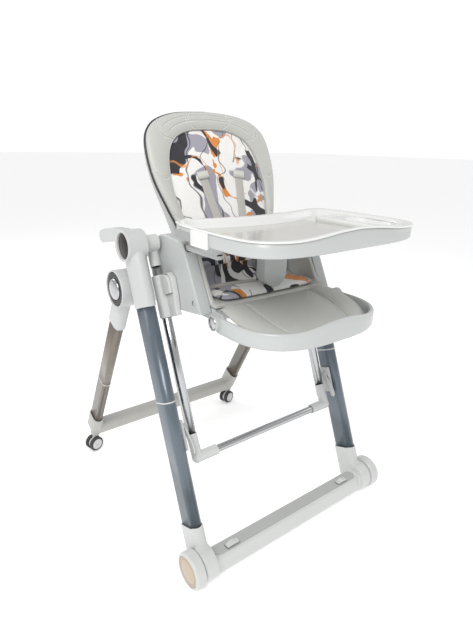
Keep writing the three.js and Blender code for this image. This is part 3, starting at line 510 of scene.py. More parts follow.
# ------------------------------------------------------------------ casters
# Twin-wheel castors: soft dark tyres with pale hub discs on a grey-white fork that swivels in the bar.
tyre_rubber = moulding("tyre_rubber", (0.045, 0.047, 0.046), 0.62, bump=0.3, grain=700.0)
for side, sign in SIDES:
    moulded_copy(f"caster_fork_{side}", white_plastic, f"caster_fork_{side}", 0.001, 4)
    wheels = softened(merged_copy(f"caster_tyres_{side}", f"caster_wheels_{side}"), 0.0009, 4)
    finished(wheels, tyre_rubber, f"caster_wheels_{side}", f"caster_wheels_{side}", slot="tyre")
    low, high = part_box(f"caster_wheels_{side}")
    middle = (low + high) / 2
    axle = Matrix.Rotation(math.radians(104), 4, "Z") @ Vector((1, 0, 0))
    discs = []
    for face in (-1, 1):
        rings = []
        for reach, radius in ((16.6, 0.1), (17.9, 0.1), (18.2, 8), (18.0, 15.5), (17.4, 17), (16.6, 17)):
            flat = Vector((-axle.y, axle.x, 0))
            rings.append([middle + (axle * face * reach + flat * radius * math.cos(a)
                                    + Vector((0, 0, 1)) * radius * math.sin(a)) / 1000
                          for a in (2 * math.pi * k / 48 for k in range(48))])
        discs.append(looped(f"disc_{face}", rings))
    hub = joined(f"caster_hubs_{side}", *discs)
    finished(hub, white_plastic, f"caster_wheels_{side}", slot="white_plastic")


# ------------------------------------------------------------------ inner frame
# A U of round chromed tube hangs between the front legs from the upper pivots. Nylon elbows join the
# cross tube to the uprights, and nylon caps close the tops. The seat slides on the uprights.
TUBE_X, TUBE_R, TUBE_BEHIND = 216, 11.5, 5


def on_tube(z):
    y, _ = along_line(FRONT_FOOT, FRONT_TOP, z)
    return (y + TUBE_BEHIND, z)


def round_section(radius, steps=48):
    return [(radius * math.cos(2 * math.pi * k / steps), radius * math.sin(2 * math.pi * k / steps))
            for k in range(steps)]


for side, sign in SIDES:
    tube = strut(f"slide_tube_{side}", sign * TUBE_X, on_tube(268), on_tube(690), round_section(TUBE_R), 1.6)
    finished(tube, chrome, "inner_frame", f"inner_tube_{side}", slot="chrome")
    moulded_copy(f"inner_elbow_{side}", white_plastic, "inner_frame", 0.0008, 6)
    moulded_copy(f"inner_cap_{side}", white_plastic, "inner_frame", 0.0007, 6)
    moulded_copy(f"clip_bracket_{side}", white_plastic, "front_frame", 0.0009, 4)
    moulded_copy(f"clip_lever_{side}", white_plastic, f"clip_lever_{side}", 0.0008, 3)
cross = lathed("cross_tube", [(-192, 7.8), (-192, 9.3), (192, 9.3), (192, 7.8)], (102, 246), 1, 48, 0.3)
finished(cross, chrome, "inner_frame", "inner_crossbar", slot="chrome")


# ------------------------------------------------------------------ arms, sliders and seat pan
# The seat is a grey moulded pan between two hollow arm housings. A white slider on each arm runs on
# the inner tube and holds the height lock with its push button.
grey_plastic = moulding("grey_plastic", (0.50, 0.52, 0.51), 0.24, Coat_Weight=0.25, Coat_Roughness=0.1)
rivet_at = (136, 614)
for side, sign in SIDES:
    moulded_copy(f"arm_{side}", grey_plastic, "seat", 0.0021, 6)
    moulded_copy(f"slider_{side}", white_plastic, "seat", 0.0014, 5)
    moulded_copy(f"height_button_{side}", white_plastic, f"height_button_{side}", 0.001, 4)
    rivet = lathed(f"arm_rivet_{side}", [(199, 0), (199, 5.5), (201.4, 5.5), (202.6, 3.5), (203, 0)],
                   rivet_at, sign, 32, 0.8)
    finished(rivet, chrome, "seat", slot="chrome")
moulded_copy("seat_pan", grey_plastic, "seat", 0.0025, 6)


# ------------------------------------------------------------------ seat cushion and liner
# A padded liner of grey leather cloth covers the pan and climbs the inside of both arms. On it lies a
# printed cotton cushion, filled with foam, that rolls over the front edge. It is sewn round its rim.
def hide_grain_group():
    """Leather cloth: small pebbled cells with painted shade in the creases between them (paler on the cell
    tops), and slow drift.
    """
    tree, given, made = shader_group(
        "hide_grain",
        [("Colour", "Color", (0.5, 0.5, 0.48, 1)), ("Cells", "Float", 620.0), ("Roughness", "Float", 0.42)],
        [("Colour", "Color"), ("Roughness", "Float"), ("Height", "Float")])
    place = add(tree, "ShaderNodeTexCoord").outputs["Object"]
    cells = add(tree, "ShaderNodeTexVoronoi", {"feature": "DISTANCE_TO_EDGE"}, {
        "Vector": place, "Scale": given.outputs["Cells"]})
    # Painted shade: the colour darkens to 0.90 towards the cell edges, in the grain creases; the same mask is
    # the bump height.
    crease_depth_and_shade = add(tree, "ShaderNodeMapRange", {"clamp": True}, {
        "Value": cells.outputs["Distance"], "From Max": 0.16, "To Min": 0.90, "To Max": 1.0})
    drift = add(tree, "ShaderNodeTexNoise", inputs={"Vector": place, "Scale": 8.0, "Detail": 4.0})
    tone = add(tree, "ShaderNodeMapRange", inputs={
        "Value": drift.outputs["Fac"], "To Min": 1.04, "To Max": 0.95})
    both = add(tree, "ShaderNodeMath", {"operation": "MULTIPLY"}, {
        0: crease_depth_and_shade.outputs[0], 1: tone.outputs[0]})
    toned = add(tree, "ShaderNodeVectorMath", {"operation": "SCALE"}, {
        0: given.outputs["Colour"], "Scale": both.outputs[0]})
    tree.links.new(toned.outputs["Vector"], made.inputs["Colour"])
    rough = add(tree, "ShaderNodeMath", {"operation": "MULTIPLY_ADD"}, {
        0: drift.outputs["Fac"], 1: 0.14, 2: given.outputs["Roughness"]})
    tree.links.new(rough.outputs[0], made.inputs["Roughness"])
    tree.links.new(crease_depth_and_shade.outputs[0], made.inputs["Height"])
    return tree


def woven_cloth_group():
    """Plain-woven cloth: two crossed sets of threads as relief, with faint painted shade between them."""
    tree, given, made = shader_group(
        "woven_cloth",
        [("Colour", "Color", (0.8, 0.8, 0.8, 1)), ("Threads", "Float", 260.0), ("Roughness", "Float", 0.8),
         ("Place", "Vector", (0, 0, 0))],
        [("Colour", "Color"), ("Roughness", "Float"), ("Height", "Float")])
    waves = []
    for direction in ("X", "Y"):
        waves.append(add(tree, "ShaderNodeTexWave", {"bands_direction": direction}, {
            "Vector": given.outputs["Place"], "Scale": given.outputs["Threads"],
            "Distortion": 0.6, "Detail": 1.0}).outputs["Fac"])
    weave = add(tree, "ShaderNodeMath", {"operation": "MAXIMUM"}, {0: waves[0], 1: waves[1]})
    fluff = add(tree, "ShaderNodeTexNoise", inputs={
        "Vector": given.outputs["Place"], "Scale": 90.0, "Detail": 4.0})
    # Painted shade: the colour darkens to 0.86 in the gaps between the threads.
    shade = add(tree, "ShaderNodeMath", {"operation": "MULTIPLY_ADD"}, {
        0: weave.outputs[0], 1: 0.12, 2: 0.86})
    soft = add(tree, "ShaderNodeMath", {"operation": "MULTIPLY_ADD"}, {
        0: fluff.outputs["Fac"], 1: 0.10, 2: shade.outputs[0]})
    toned = add(tree, "ShaderNodeVectorMath", {"operation": "SCALE"}, {
        0: given.outputs["Colour"], "Scale": soft.outputs[0]})
    tree.links.new(toned.outputs["Vector"], made.inputs["Colour"])
    rough = add(tree, "ShaderNodeMath", {"operation": "MULTIPLY_ADD"}, {
        0: fluff.outputs["Fac"], 1: 0.15, 2: given.outputs["Roughness"]})
    tree.links.new(rough.outputs[0], made.inputs["Roughness"])
    tree.links.new(weave.outputs[0], made.inputs["Height"])
    return tree


def brushed_print_group():
    """An abstract print: drifting grey blots, orange patches and dark brushed sweeps on off-white."""
    tree, given, made = shader_group(
        "brushed_print",
        [("Place", "Vector", (0, 0, 0)), ("Ground", "Color", (0.80, 0.79, 0.77, 1)),
         ("Blot", "Color", (0.33, 0.32, 0.37, 1)), ("Accent", "Color", (0.66, 0.24, 0.05, 1)),
         ("Ink", "Color", (0.028, 0.028, 0.034, 1))],
        [("Colour", "Color")])
    swirl = add(tree, "ShaderNodeTexNoise", inputs={
        "Vector": given.outputs["Place"], "Scale": 8.0, "Detail": 2.0})
    bent = add(tree, "ShaderNodeVectorMath", {"operation": "MULTIPLY_ADD"}, {
        0: swirl.outputs["Color"], 1: (0.16, 0.16, 0.16), 2: given.outputs["Place"]})
    colour = given.outputs["Ground"]
    layers = (  # shift, scale, low, high, paint
        (0.0, 11.5, 0.515, 0.522, "Blot"), (1.7, 16.0, 0.625, 0.632, "Accent"))
    for shift, scale, low, high, paint in layers:
        moved = add(tree, "ShaderNodeVectorMath", {"operation": "ADD"}, {
            0: bent.outputs["Vector"], 1: (shift, shift * 0.6, shift * 1.3)})
        patch = add(tree, "ShaderNodeTexNoise", inputs={
            "Vector": moved.outputs["Vector"], "Scale": scale, "Detail": 2.0, "Roughness": 0.4})
        mask = add(tree, "ShaderNodeMapRange", {"clamp": True}, {
            "Value": patch.outputs["Fac"], "From Min": low, "From Max": high})
        blend = add(tree, "ShaderNodeMix", {"data_type": "RGBA"}, {"Factor": mask.outputs[0]})
        tree.links.new(colour, blend.inputs["A"])
        tree.links.new(given.outputs[paint], blend.inputs["B"])
        colour = blend.outputs["Result"]
    strokes = (  # scale, distortion, threshold, patch scale, patch threshold, direction, paint
        (4.4, 6.0, 0.80, 9.0, 0.50, "X", "Ink"), (4.0, 7.0, 0.93, 7.0, 0.46, "DIAGONAL", "Ink"),
        (6.0, 8.0, 0.982, 7.0, 0.44, "X", "Ink"), (5.0, 9.0, 0.985, 7.0, 0.46, "DIAGONAL", "Accent"))
    for number, (scale, bend, edge, spread, limit, way, paint) in enumerate(strokes):
        sweep = add(tree, "ShaderNodeTexWave", {"bands_direction": way}, {
            "Vector": bent.outputs["Vector"], "Scale": scale, "Distortion": bend, "Detail": 1.0,
            "Detail Scale": 1.2, "Phase Offset": 2.1 * number})
        line = add(tree, "ShaderNodeMapRange", {"clamp": True}, {
            "Value": sweep.outputs["Fac"], "From Min": edge, "From Max": edge + 0.02})
        moved = add(tree, "ShaderNodeVectorMath", {"operation": "ADD"}, {
            0: given.outputs["Place"], 1: (3.1 * number + 0.4, 0.9, 2.2 * number)})
        region = add(tree, "ShaderNodeTexNoise", inputs={"Vector": moved.outputs["Vector"], "Scale": spread})
        allowed = add(tree, "ShaderNodeMapRange", {"clamp": True}, {
            "Value": region.outputs["Fac"], "From Min": limit, "From Max": limit + 0.012})
        mask = add(tree, "ShaderNodeMath", {"operation": "MULTIPLY"}, {
            0: line.outputs[0], 1: allowed.outputs[0]})
        blend = add(tree, "ShaderNodeMix", {"data_type": "RGBA"}, {"Factor": mask.outputs[0]})
        tree.links.new(colour, blend.inputs["A"])
        tree.links.new(given.outputs[paint], blend.inputs["B"])
        colour = blend.outputs["Result"]
    tree.links.new(colour, made.inputs["Colour"])
    return tree


hide_grain, woven_cloth, brushed_print = hide_grain_group(), woven_cloth_group(), brushed_print_group()


def cloth_finish(name, print_spin, colour=None, threads=260.0, roughness=0.75):
    """Woven cloth in one colour, or printed all over with the abstract pattern."""
    material = bpy.data.materials.new(name)
    material.use_nodes = True
    tree = material.node_tree
    shader = tree.nodes["Principled BSDF"]
    place = add(tree, "ShaderNodeTexCoord").outputs["Object"]
    laid = add(tree, "ShaderNodeMapping", inputs={"Vector": place, "Rotation": print_spin})
    cloth = add(tree, "ShaderNodeGroup", {"node_tree": woven_cloth}, {
        "Threads": threads, "Roughness": roughness, "Place": laid.outputs["Vector"]})
    if colour:
        cloth.inputs["Colour"].default_value = (*colour, 1)
    else:
        flat = add(tree, "ShaderNodeVectorMath", {"operation": "MULTIPLY"}, {
            0: laid.outputs["Vector"], 1: (1.0, 1.0, 0.4)})
        pattern = add(tree, "ShaderNodeGroup", {"node_tree": brushed_print}, {
            "Place": flat.outputs["Vector"]})
        tree.links.new(pattern.outputs["Colour"], cloth.inputs["Colour"])
    relief = add(tree, "ShaderNodeBump", inputs={
        "Strength": 0.25, "Distance": 0.0004, "Height": cloth.outputs["Height"]})
    tree.links.new(cloth.outputs["Colour"], shader.inputs["Base Color"])
    tree.links.new(cloth.outputs["Roughness"], shader.inputs["Roughness"])
    tree.links.new(relief.outputs["Normal"], shader.inputs["Normal"])
    shader.inputs["Sheen Weight"].default_value = 0.15
    return material


cover_leather = surfaced("cover_leather", hide_grain, {
    "Colour": (0.52, 0.52, 0.49, 1), "Cells": 620.0, "Roughness": 0.36}, 0.22, 0.00025)
piping_leather = surfaced("piping_leather", hide_grain, {
    "Colour": (0.03, 0.03, 0.033, 1), "Cells": 800.0, "Roughness": 0.4}, 0.2, 0.0002)
seat_print = cloth_finish("seat_print", (0, 0, 0))
back_print = cloth_finish("back_print", (math.radians(-67), 0, 0))
strap_web = cloth_finish("strap_web", (math.radians(-67), 0, 0), (0.47, 0.45, 0.42), 700.0, 0.7)


def pressed_out(piece, pinned, pressure, most):
    """Swells a closed pad by cloth simulation round its pinned points, each moving at most so far."""
    before = [v.co.copy() for v in piece.data.vertices]
    group = piece.vertex_groups.new(name="sewn")
    group.add(sorted(pinned), 1.0, "REPLACE")
    cloth = piece.modifiers.new("cloth", "CLOTH")
    settings = cloth.settings
    settings.quality = 6
    settings.mass = 0.25
    settings.tension_stiffness = 18
    settings.compression_stiffness = 18
    settings.bending_stiffness = 0.6
    settings.use_pressure = True
    settings.uniform_pressure_force = pressure
    settings.vertex_group_mass = "sewn"
    settings.effector_weights.gravity = 0
    cloth.collision_settings.use_collision = False
    cloth.collision_settings.use_self_collision = False
    cloth.point_cache.frame_start, cloth.point_cache.frame_end = 1, 20
    scene = bpy.context.scene
    for number in range(1, 21):
        scene.frame_set(number)
    swollen = piece.evaluated_get(bpy.context.evaluated_depsgraph_get())
    after = [v.co.copy() for v in swollen.data.vertices]
    piece.modifiers.clear()
    piece.vertex_groups.clear()
    scene.frame_set(1)
    for vertex, old, new in zip(piece.data.vertices, before, after):
        step = new - old
        vertex.co = old + step * min(1.0, most / max(step.length, 1e-9))
    piece.data.update()
    return piece


def smoothed(piece, levels=1):
    """One more level of subdivision, as plain mesh."""
    finer = piece.modifiers.new("finer", "SUBSURF")
    finer.levels = finer.render_levels = levels
    return applied(piece)


def pad_skin(name, columns, rows, upper, lower):
    """A closed pad: an upper and a lower skin over an even grid, sewn together at the rim."""
    points, faces, rim = [], [], set()
    for skin in (upper, lower):
        for i in range(columns + 1):
            for j in range(rows + 1):
                points.append(skin(2 * i / columns - 1, 2 * j / rows - 1))
    size = (columns + 1) * (rows + 1)

    def at(skin, i, j):
        if i in (0, columns) or j in (0, rows):
            rim.add(i * (rows + 1) + j)
            return i * (rows + 1) + j
        return skin * size + i * (rows + 1) + j

    for i in range(columns):
        for j in range(rows):
            a, b, c, d = ((i, j), (i + 1, j), (i + 1, j + 1), (i, j + 1))
            faces.append([at(0, *k) for k in (a, b, c, d)])
            faces.append([at(1, *k) for k in (d, c, b, a)])
    piece = mesh_piece(name, points, faces)
    work = bmesh.new()
    work.from_mesh(piece.data)
    work.verts.ensure_lookup_table()
    for index in rim:
        work.verts[index].tag = True
    bmesh.ops.delete(work, geom=[v for v in work.verts if not v.link_faces], context="VERTS")
    bmesh.ops.recalc_face_normals(work, faces=work.faces)
    work.verts.index_update()
    sewn = {v.index for v in work.verts if v.tag}
    work.to_mesh(piece.data)
    work.free()
    return piece, sewn


def rounded_rect(u, v, half_x, half_y, power=6.0):
    """Maps the square [-1, 1] x [-1, 1] onto a rectangle with rounded corners."""
    reach = max(abs(u), abs(v))
    if reach < 1e-9:
        return 0.0, 0.0
    length = (abs(u / reach) ** power + abs(v / reach) ** power) ** (1 / power)
    return half_x * u / length, half_y * v / length


CUSHION_HALF, CUSHION_BACK, CUSHION_FRONT = 145.0, 203.0, 97.0


CUSHION_MIDDLE, CUSHION_SEAM = 150, 619


def cushion_top(u, v):
    x, y = rounded_rect(u, v, CUSHION_HALF, (CUSHION_BACK - CUSHION_FRONT) / 2)
    rim = 1 - max(abs(u), abs(v)) ** 4
    front_roll = 3.0 * math.exp(-((v + 0.72) / 0.3) ** 2) * rim
    return placed(x, CUSHION_MIDDLE + y, CUSHION_SEAM + 9 * rim ** 0.5 + 3.0 * rim + front_roll)


def cushion_low(u, v):
    x, y = rounded_rect(u, v, CUSHION_HALF, (CUSHION_BACK - CUSHION_FRONT) / 2)
    rim = 1 - max(abs(u), abs(v)) ** 4
    return placed(x, CUSHION_MIDDLE + y, CUSHION_SEAM - 5.5 * rim ** 0.5)


cushion, cushion_rim = pad_skin("seat_cushion", 72, 36, cushion_top, cushion_low)
cushion = smoothed(pressed_out(cushion, cushion_rim, 4.0, 0.006))
finished(cushion, seat_print, "seat", slot="printed_cloth")


def side_slab(name, outline, x0, x1):
    """A flat piece with a side-view outline of (y, z) points, from x0 to x1."""
    return looped(name, [[placed(x, y, z) for y, z in outline] for x in (x0, x1)])


LINER_HALF, LINER_INSIDE = 169.7, 158
base_outline = [(97, 603.9), (208, 603.9), (208, 613), (97, 613)]
liner_parts = [side_slab("liner_base", base_outline, -LINER_HALF, LINER_HALF)]
wing_outline = softened_line(
    [(104, 606), (204, 606), (249, 716), (172, 718), (149, 671), (121, 622)], 12.0, 5)
for side, sign in SIDES:
    liner_parts.append(side_slab(f"liner_wing_{side}", wing_outline, sign * LINER_INSIDE, sign * LINER_HALF))
liner = softened(joined("seat_liner", *liner_parts), 0.0024, 8)
finished(liner, cover_leather, "seat", "seat_cover", slot="cover_leather")
moulded_copy("buckle", moulding("buckle_plastic", (0.22, 0.22, 0.22), 0.4), "seat", 0.0011, 4)


# ------------------------------------------------------------------ backrest shell and recline lever
# A grey moulding forms the back of the seat, closed in front by the board that the cover is fixed to.
# It hinges between the arms on two lugs; the wide recline lever hangs from two ears on its rear face.
LEAN, BACK_AT = math.radians(23), (318.7, 850)


def on_back(u, s, n):
    """A point of the backrest: u across, s up it, n forward of its face, in millimetres."""
    return placed(u, BACK_AT[0] + s * math.sin(LEAN) - n * math.cos(LEAN),
                  BACK_AT[1] + s * math.cos(LEAN) + n * math.sin(LEAN))


SHELL_ROWS = [(143, -235), (144, -120), (154, -60), (166, 0), (172, 50), (169, 100), (152, 135),
              (112, 158), (0, 168)]
COVER_ROWS = [(143, -235), (148, -120), (164, -60), (181, 0), (187, 50), (184, 103), (171, 135),
              (141, 160), (84, 177), (0, 183)]
INSERT_ROWS = [(118, -225), (124, -110), (134, -55), (140, 0), (130, 69), (104, 110), (60, 130), (0, 135)]


def curve_through(knots, steps):
    """Points of a smooth open curve through the knots (Catmull-Rom)."""
    padded = [2 * Vector(knots[0]) - Vector(knots[1]), *map(Vector, knots),
              2 * Vector(knots[-1]) - Vector(knots[-2])]
    out = []
    for i in range(1, len(padded) - 2):
        a, b, c, d = padded[i - 1:i + 3]
        for k in range(steps):
            t = k / steps
            out.append(0.5 * (2 * b + (c - a) * t + (2 * a - 5 * b + 4 * c - d) * t * t
                              + (3 * b - a - 3 * c + d) * t ** 3))
    out.append(padded[-2])
    return out


def polar_outline(rows, centre_s, count, grow=0.0):
    """The mirrored outline through the rows, as the reach from (0, centre_s) at even angles."""
    side_line = [p for p in curve_through(rows, 16)]
    loop = [Vector((p.x, p.y)) for p in side_line] + [Vector((-p.x, p.y)) for p in side_line[-2::-1]]
    loop.append(loop[0])
    reach = []
    for k in range(count):
        way = Vector((math.sin(2 * math.pi * k / count), math.cos(2 * math.pi * k / count)))
        best = 0.0
        for a, b in zip(loop, loop[1:]):
            a2, b2 = a - Vector((0, centre_s)), b - Vector((0, centre_s))
            edge = b2 - a2
            cross = way.x * edge.y - way.y * edge.x
            if abs(cross) < 1e-9:
                continue
            t = (a2.x * edge.y - a2.y * edge.x) / cross
            w = (a2.x * way.y - a2.y * way.x) / cross
            if t > 0 and -1e-6 <= w <= 1 + 1e-6:
                best = max(best, t)
        reach.append(best + grow)
    return reach


COVER_POINTS, CENTRE_S = 288, -30


def polar(k, reach, n):
    """A point at outline step k, so far out from the outline's middle, n forward of the face."""
    turn = 2 * math.pi * k / COVER_POINTS
    return on_back(reach * math.sin(turn), CENTRE_S + reach * math.cos(turn), n)


board_reach = polar_outline(SHELL_ROWS, CENTRE_S, COVER_POINTS, -1.5)
board = looped("board", [[polar(k, board_reach[k], n) for k in range(COVER_POINTS)] for n in (-43, -23)])
shell = softened(joined("back_shell_moulding", merged_copy("shell", "back_shell"), board), 0.002, 7)
finished(shell, grey_plastic, "backrest", "back_shell", slot="grey_plastic")
moulded_copy("recline_lever", moulding("lever_plastic", (0.30, 0.31, 0.31), 0.42), "recline_lever", 0.0014, 5)


# ------------------------------------------------------------------ backrest cover
# The cover is padded leather cloth with double-stitched seams that run out from the insert, three a
# side, and scallops over the head. It is piped in black round the edge and tucks behind the shell.
cover_reach = polar_outline(COVER_ROWS, CENTRE_S, COVER_POINTS, -3.0)
insert_reach = polar_outline(INSERT_ROWS, CENTRE_S, COVER_POINTS, 1.5)


SEAM_TURNS = [math.radians(a) for a in (-106, -70, -38, -13, 13, 38, 70, 106)]
SCALLOPS = (0.36, 0.66)  # shares of the way out from the insert, over the head only


def groove(k, t):
    """How deep a seam pulls the cover in at outline point k and share t of the way out, 0 to 1."""
    turn = 2 * math.pi * k / COVER_POINTS
    turn = turn - 2 * math.pi if turn > math.pi else turn
    width = cover_reach[k] - insert_reach[k]
    out = insert_reach[k] + t * width
    deep = 0.0
    for seam in SEAM_TURNS:
        bow = seam + 0.10 * math.sin(math.pi * t) * (1 if seam > 0 else -1)
        away = abs(turn - bow) * out
        deep = max(deep, math.exp(-(away / 3.2) ** 2))
    if abs(turn) < SEAM_TURNS[5]:
        for share in SCALLOPS:
            away = abs(t - share - 0.10 * math.cos(turn / SEAM_TURNS[5] * math.pi / 2)) * width
            deep = max(deep, 0.8 * math.exp(-(away / 2.6) ** 2))
    return deep


cover_rings, seam_points = [], set()
for reach_share, n in ((0.90, -20.5), (0.985, -21.5), (1.0, -18), (1.004, -10), (1.0, -3)):
    cover_rings.append([polar(k, cover_reach[k] * reach_share, n) for k in range(COVER_POINTS)])
share_steps = 30
for step in range(share_steps + 1):
    t = 1 - step / share_steps
    ring = []
    for k in range(COVER_POINTS):
        crown = 1.5 + 7.0 * math.sin(math.pi * min(max(t, 0.0), 1.0)) ** 0.6
        deep = groove(k, t)
        if deep > 0.6 or step in (0, share_steps):
            seam_points.add((len(cover_rings), k))
        ring.append(polar(k, insert_reach[k] + t * (cover_reach[k] - insert_reach[k]) * 0.99,
                          crown - 2.3 * deep))
    cover_rings.append(ring)
for inward, n in ((2.0, -4.0), (3.0, -7.8)):
    cover_rings.append([polar(k, insert_reach[k] - inward, n) for k in range(COVER_POINTS)])
for share, n in ((0.6, -7.9), (0.25, -7.9)):
    cover_rings.append([polar(k, insert_reach[k] * share, n) for k in range(COVER_POINTS)])
cover = looped("back_cover_pad", cover_rings)
held = {r * COVER_POINTS + k for r, k in seam_points}
fixed_rings = [*range(0, 5), *range(len(cover_rings) - 4, len(cover_rings))]
held |= {r * COVER_POINTS + k for r in fixed_rings for k in range(COVER_POINTS)}
held |= set(range(len(cover_rings) * COVER_POINTS, len(cover.data.vertices)))
cover = pressed_out(cover, held, 3.0, 0.004)
finished(cover, cover_leather, "backrest", "back_cover", slot="cover_leather")


def swept(name, path, radius, steps=8, closed=False):
    """A round cord of piping along a path of points in metres."""
    rings = []
    count = len(path)
    for i, p in enumerate(path):
        ahead_i = (i + 1) % count if closed else min(i + 1, count - 1)
        back_i = (i - 1) % count if closed else max(i - 1, 0)
        way = (path[ahead_i] - path[back_i]).normalized()
        one = way.cross(Vector((0.31, -0.67, 0.68))).normalized()
        two = way.cross(one)
        rings.append([p + radius * (one * math.cos(2 * math.pi * k / steps)
                                    + two * math.sin(2 * math.pi * k / steps)) for k in range(steps)])
    return looped(name, rings, closed_tube=closed)


edge_path = [polar(k, cover_reach[k] + 0.9, -7.0) for k in range(COVER_POINTS)]
piping = swept("cover_piping", edge_path, 0.0031, 8, closed=True)
finished(piping, piping_leather, "backrest", slot="dark_grey_plastic")
insert_path = [polar(k, insert_reach[k] + 0.5, 1.6) for k in range(COVER_POINTS)]
insert_piping = swept("insert_piping", insert_path, 0.0018, 8, closed=True)
finished(insert_piping, cover_leather, "backrest", slot="cover_leather")


# ------------------------------------------------------------------ stitches
# Pairs of stitch rows run along each seam of the cover, in a thread a little paler than the leather.
def stitch_tree():
    """Geometry nodes that lay one short thread on each even step of the edges of a mesh of paths."""
    tree = bpy.data.node_groups.new("stitch_rows", "GeometryNodeTree")
    tree.interface.new_socket("Geometry", in_out="INPUT", socket_type="NodeSocketGeometry")
    for label, value in (("Pitch", 0.0042), ("Thread", 0.00065), ("Length", 0.0028)):
        tree.interface.new_socket(label, in_out="INPUT", socket_type="NodeSocketFloat").default_value = value
    tree.interface.new_socket("Material", in_out="INPUT", socket_type="NodeSocketMaterial")
    tree.interface.new_socket("Geometry", in_out="OUTPUT", socket_type="NodeSocketGeometry")
    given, made = add(tree, "NodeGroupInput"), add(tree, "NodeGroupOutput")
    curve = add(tree, "GeometryNodeMeshToCurve", inputs={"Mesh": given.outputs["Geometry"]})
    even = add(tree, "GeometryNodeResampleCurve", {"mode": "LENGTH"}, {
        "Curve": curve.outputs["Curve"], "Length": given.outputs["Pitch"]})
    tangent = add(tree, "GeometryNodeInputTangent")
    turned_to = add(tree, "FunctionNodeAlignRotationToVector", {"axis": "Z"}, {
        "Vector": tangent.outputs["Tangent"]})
    thread = add(tree, "GeometryNodeMeshCylinder", inputs={
        "Vertices": 6, "Radius": given.outputs["Thread"], "Depth": given.outputs["Length"]})
    laid = add(tree, "GeometryNodeInstanceOnPoints", inputs={
        "Points": even.outputs["Curve"], "Instance": thread.outputs["Mesh"],
        "Rotation": turned_to.outputs["Rotation"]})
    real = add(tree, "GeometryNodeRealizeInstances", inputs={"Geometry": laid.outputs["Instances"]})
    dressed = add(tree, "GeometryNodeSetMaterial", inputs={
        "Geometry": real.outputs["Geometry"], "Material": given.outputs["Material"]})
    tree.links.new(dressed.outputs["Geometry"], made.inputs["Geometry"])
    return tree


stitch_rows = stitch_tree()


def set_input(modifier, label, value):
    for item in modifier.node_group.interface.items_tree:
        if item.item_type == "SOCKET" and item.in_out == "INPUT" and item.name == label:
            modifier[item.identifier] = value


def sewn_rows(name, paths, material, body, slot):
    """Stitches along every path of points, as one plain mesh that rides on a body."""
    points, edges = [], []
    for path in paths:
        start = len(points)
        points += [tuple(p) for p in path]
        edges += [(start + i, start + i + 1) for i in range(len(path) - 1)]
    mesh = bpy.data.meshes.new(name)
    mesh.from_pydata(points, edges, [])
    piece = bpy.data.objects.new(name, mesh)
    bpy.context.collection.objects.link(piece)
    maker = piece.modifiers.new("stitches", "NODES")
    maker.node_group = stitch_rows
    set_input(maker, "Material", material)
    applied(piece)
    return finished(piece, material, body, slot=slot)


def laid_on(piece, points, towards, lift=0.0003):
    """The points moved along a direction until they lie on the surface of a piece."""
    graph = bpy.context.evaluated_depsgraph_get()
    tree = BVHTree.FromObject(piece, graph)
    out = []
    for p in points:
        hit, normal, _, _ = tree.ray_cast(p - towards * 0.06, towards)
        if hit is not None:
            out.append(hit + normal * lift)
    return out


def seam_path(seam, side_step):
    """A radial seam's line over the cover, moved sideways by some millimetres."""
    out = []
    for i in range(26):
        t = 0.03 + 0.94 * i / 25
        bow = seam + 0.10 * math.sin(math.pi * t) * (1 if seam > 0 else -1)
        k = (bow / (2 * math.pi) * COVER_POINTS) % COVER_POINTS
        a, share = int(k), k - int(k)
        b = (a + 1) % COVER_POINTS
        inner = insert_reach[a] * (1 - share) + insert_reach[b] * share
        outer = cover_reach[a] * (1 - share) + cover_reach[b] * share
        reach = inner + t * (outer - inner)
        turn = bow + side_step / reach
        out.append(on_back(reach * math.sin(turn), CENTRE_S + reach * math.cos(turn), 12))
    return out


def scallop_path(share, step):
    out = []
    limit = SEAM_TURNS[5] * 0.97
    for i in range(41):
        turn = -limit + 2 * limit * i / 40
        k = int(round(turn / (2 * math.pi) * COVER_POINTS)) % COVER_POINTS
        width = cover_reach[k] - insert_reach[k]
        reach = insert_reach[k] + width * (share + 0.10 * math.cos(turn / SEAM_TURNS[5] * math.pi / 2)) + step
        out.append(on_back(reach * math.sin(turn), CENTRE_S + reach * math.cos(turn), 12))
    return out


thread_finish = cloth_finish("thread", (0, 0, 0), (0.80, 0.80, 0.78), 900.0, 0.6)
into_back = Vector((0, math.cos(LEAN), -math.sin(LEAN)))
rows = [seam_path(seam, step) for seam in SEAM_TURNS for step in (-3.4, 3.4)]
rows += [scallop_path(share, step) for share in SCALLOPS for step in (-3.0, 3.0)]
rows = [laid_on(cover, row, into_back) for row in rows]
sewn_rows("cover_stitches", [row for row in rows if len(row) > 2], thread_finish, "backrest", "webbing")


# ------------------------------------------------------------------ printed insert and harness
# The newborn insert is a printed cotton pad laid in the cover's pocket. Two webbing straps come down
# over it from slots at shoulder height, each with a plastic adjuster.
insert_points = 144
insert_out = polar_outline(INSERT_ROWS, CENTRE_S, insert_points, -0.5)
insert_rings = []
for share, n in ((0.3, -7.4), (0.97, -7.4), (1.0, -5.5), (1.0, -2.5), (0.985, 0.0), (0.95, 1.6),
                 (0.88, 2.6), (0.78, 3.2), (0.64, 3.4), (0.48, 3.2), (0.32, 3.0), (0.15, 3.0)):
    ring = []
    for k in range(insert_points):
        turn = 2 * math.pi * k / insert_points
        reach = insert_out[k] * share
        ring.append(on_back(reach * math.sin(turn), CENTRE_S + reach * math.cos(turn), n))
    insert_rings.append(ring)
insert = looped("insert_pad", insert_rings)
insert_held = set(range(0, 4 * insert_points)) | {len(insert.data.vertices) - 2}
insert = smoothed(pressed_out(insert, insert_held, 3.0, 0.005))
finished(insert, back_print, "backrest", "back_insert", slot="printed_cloth")


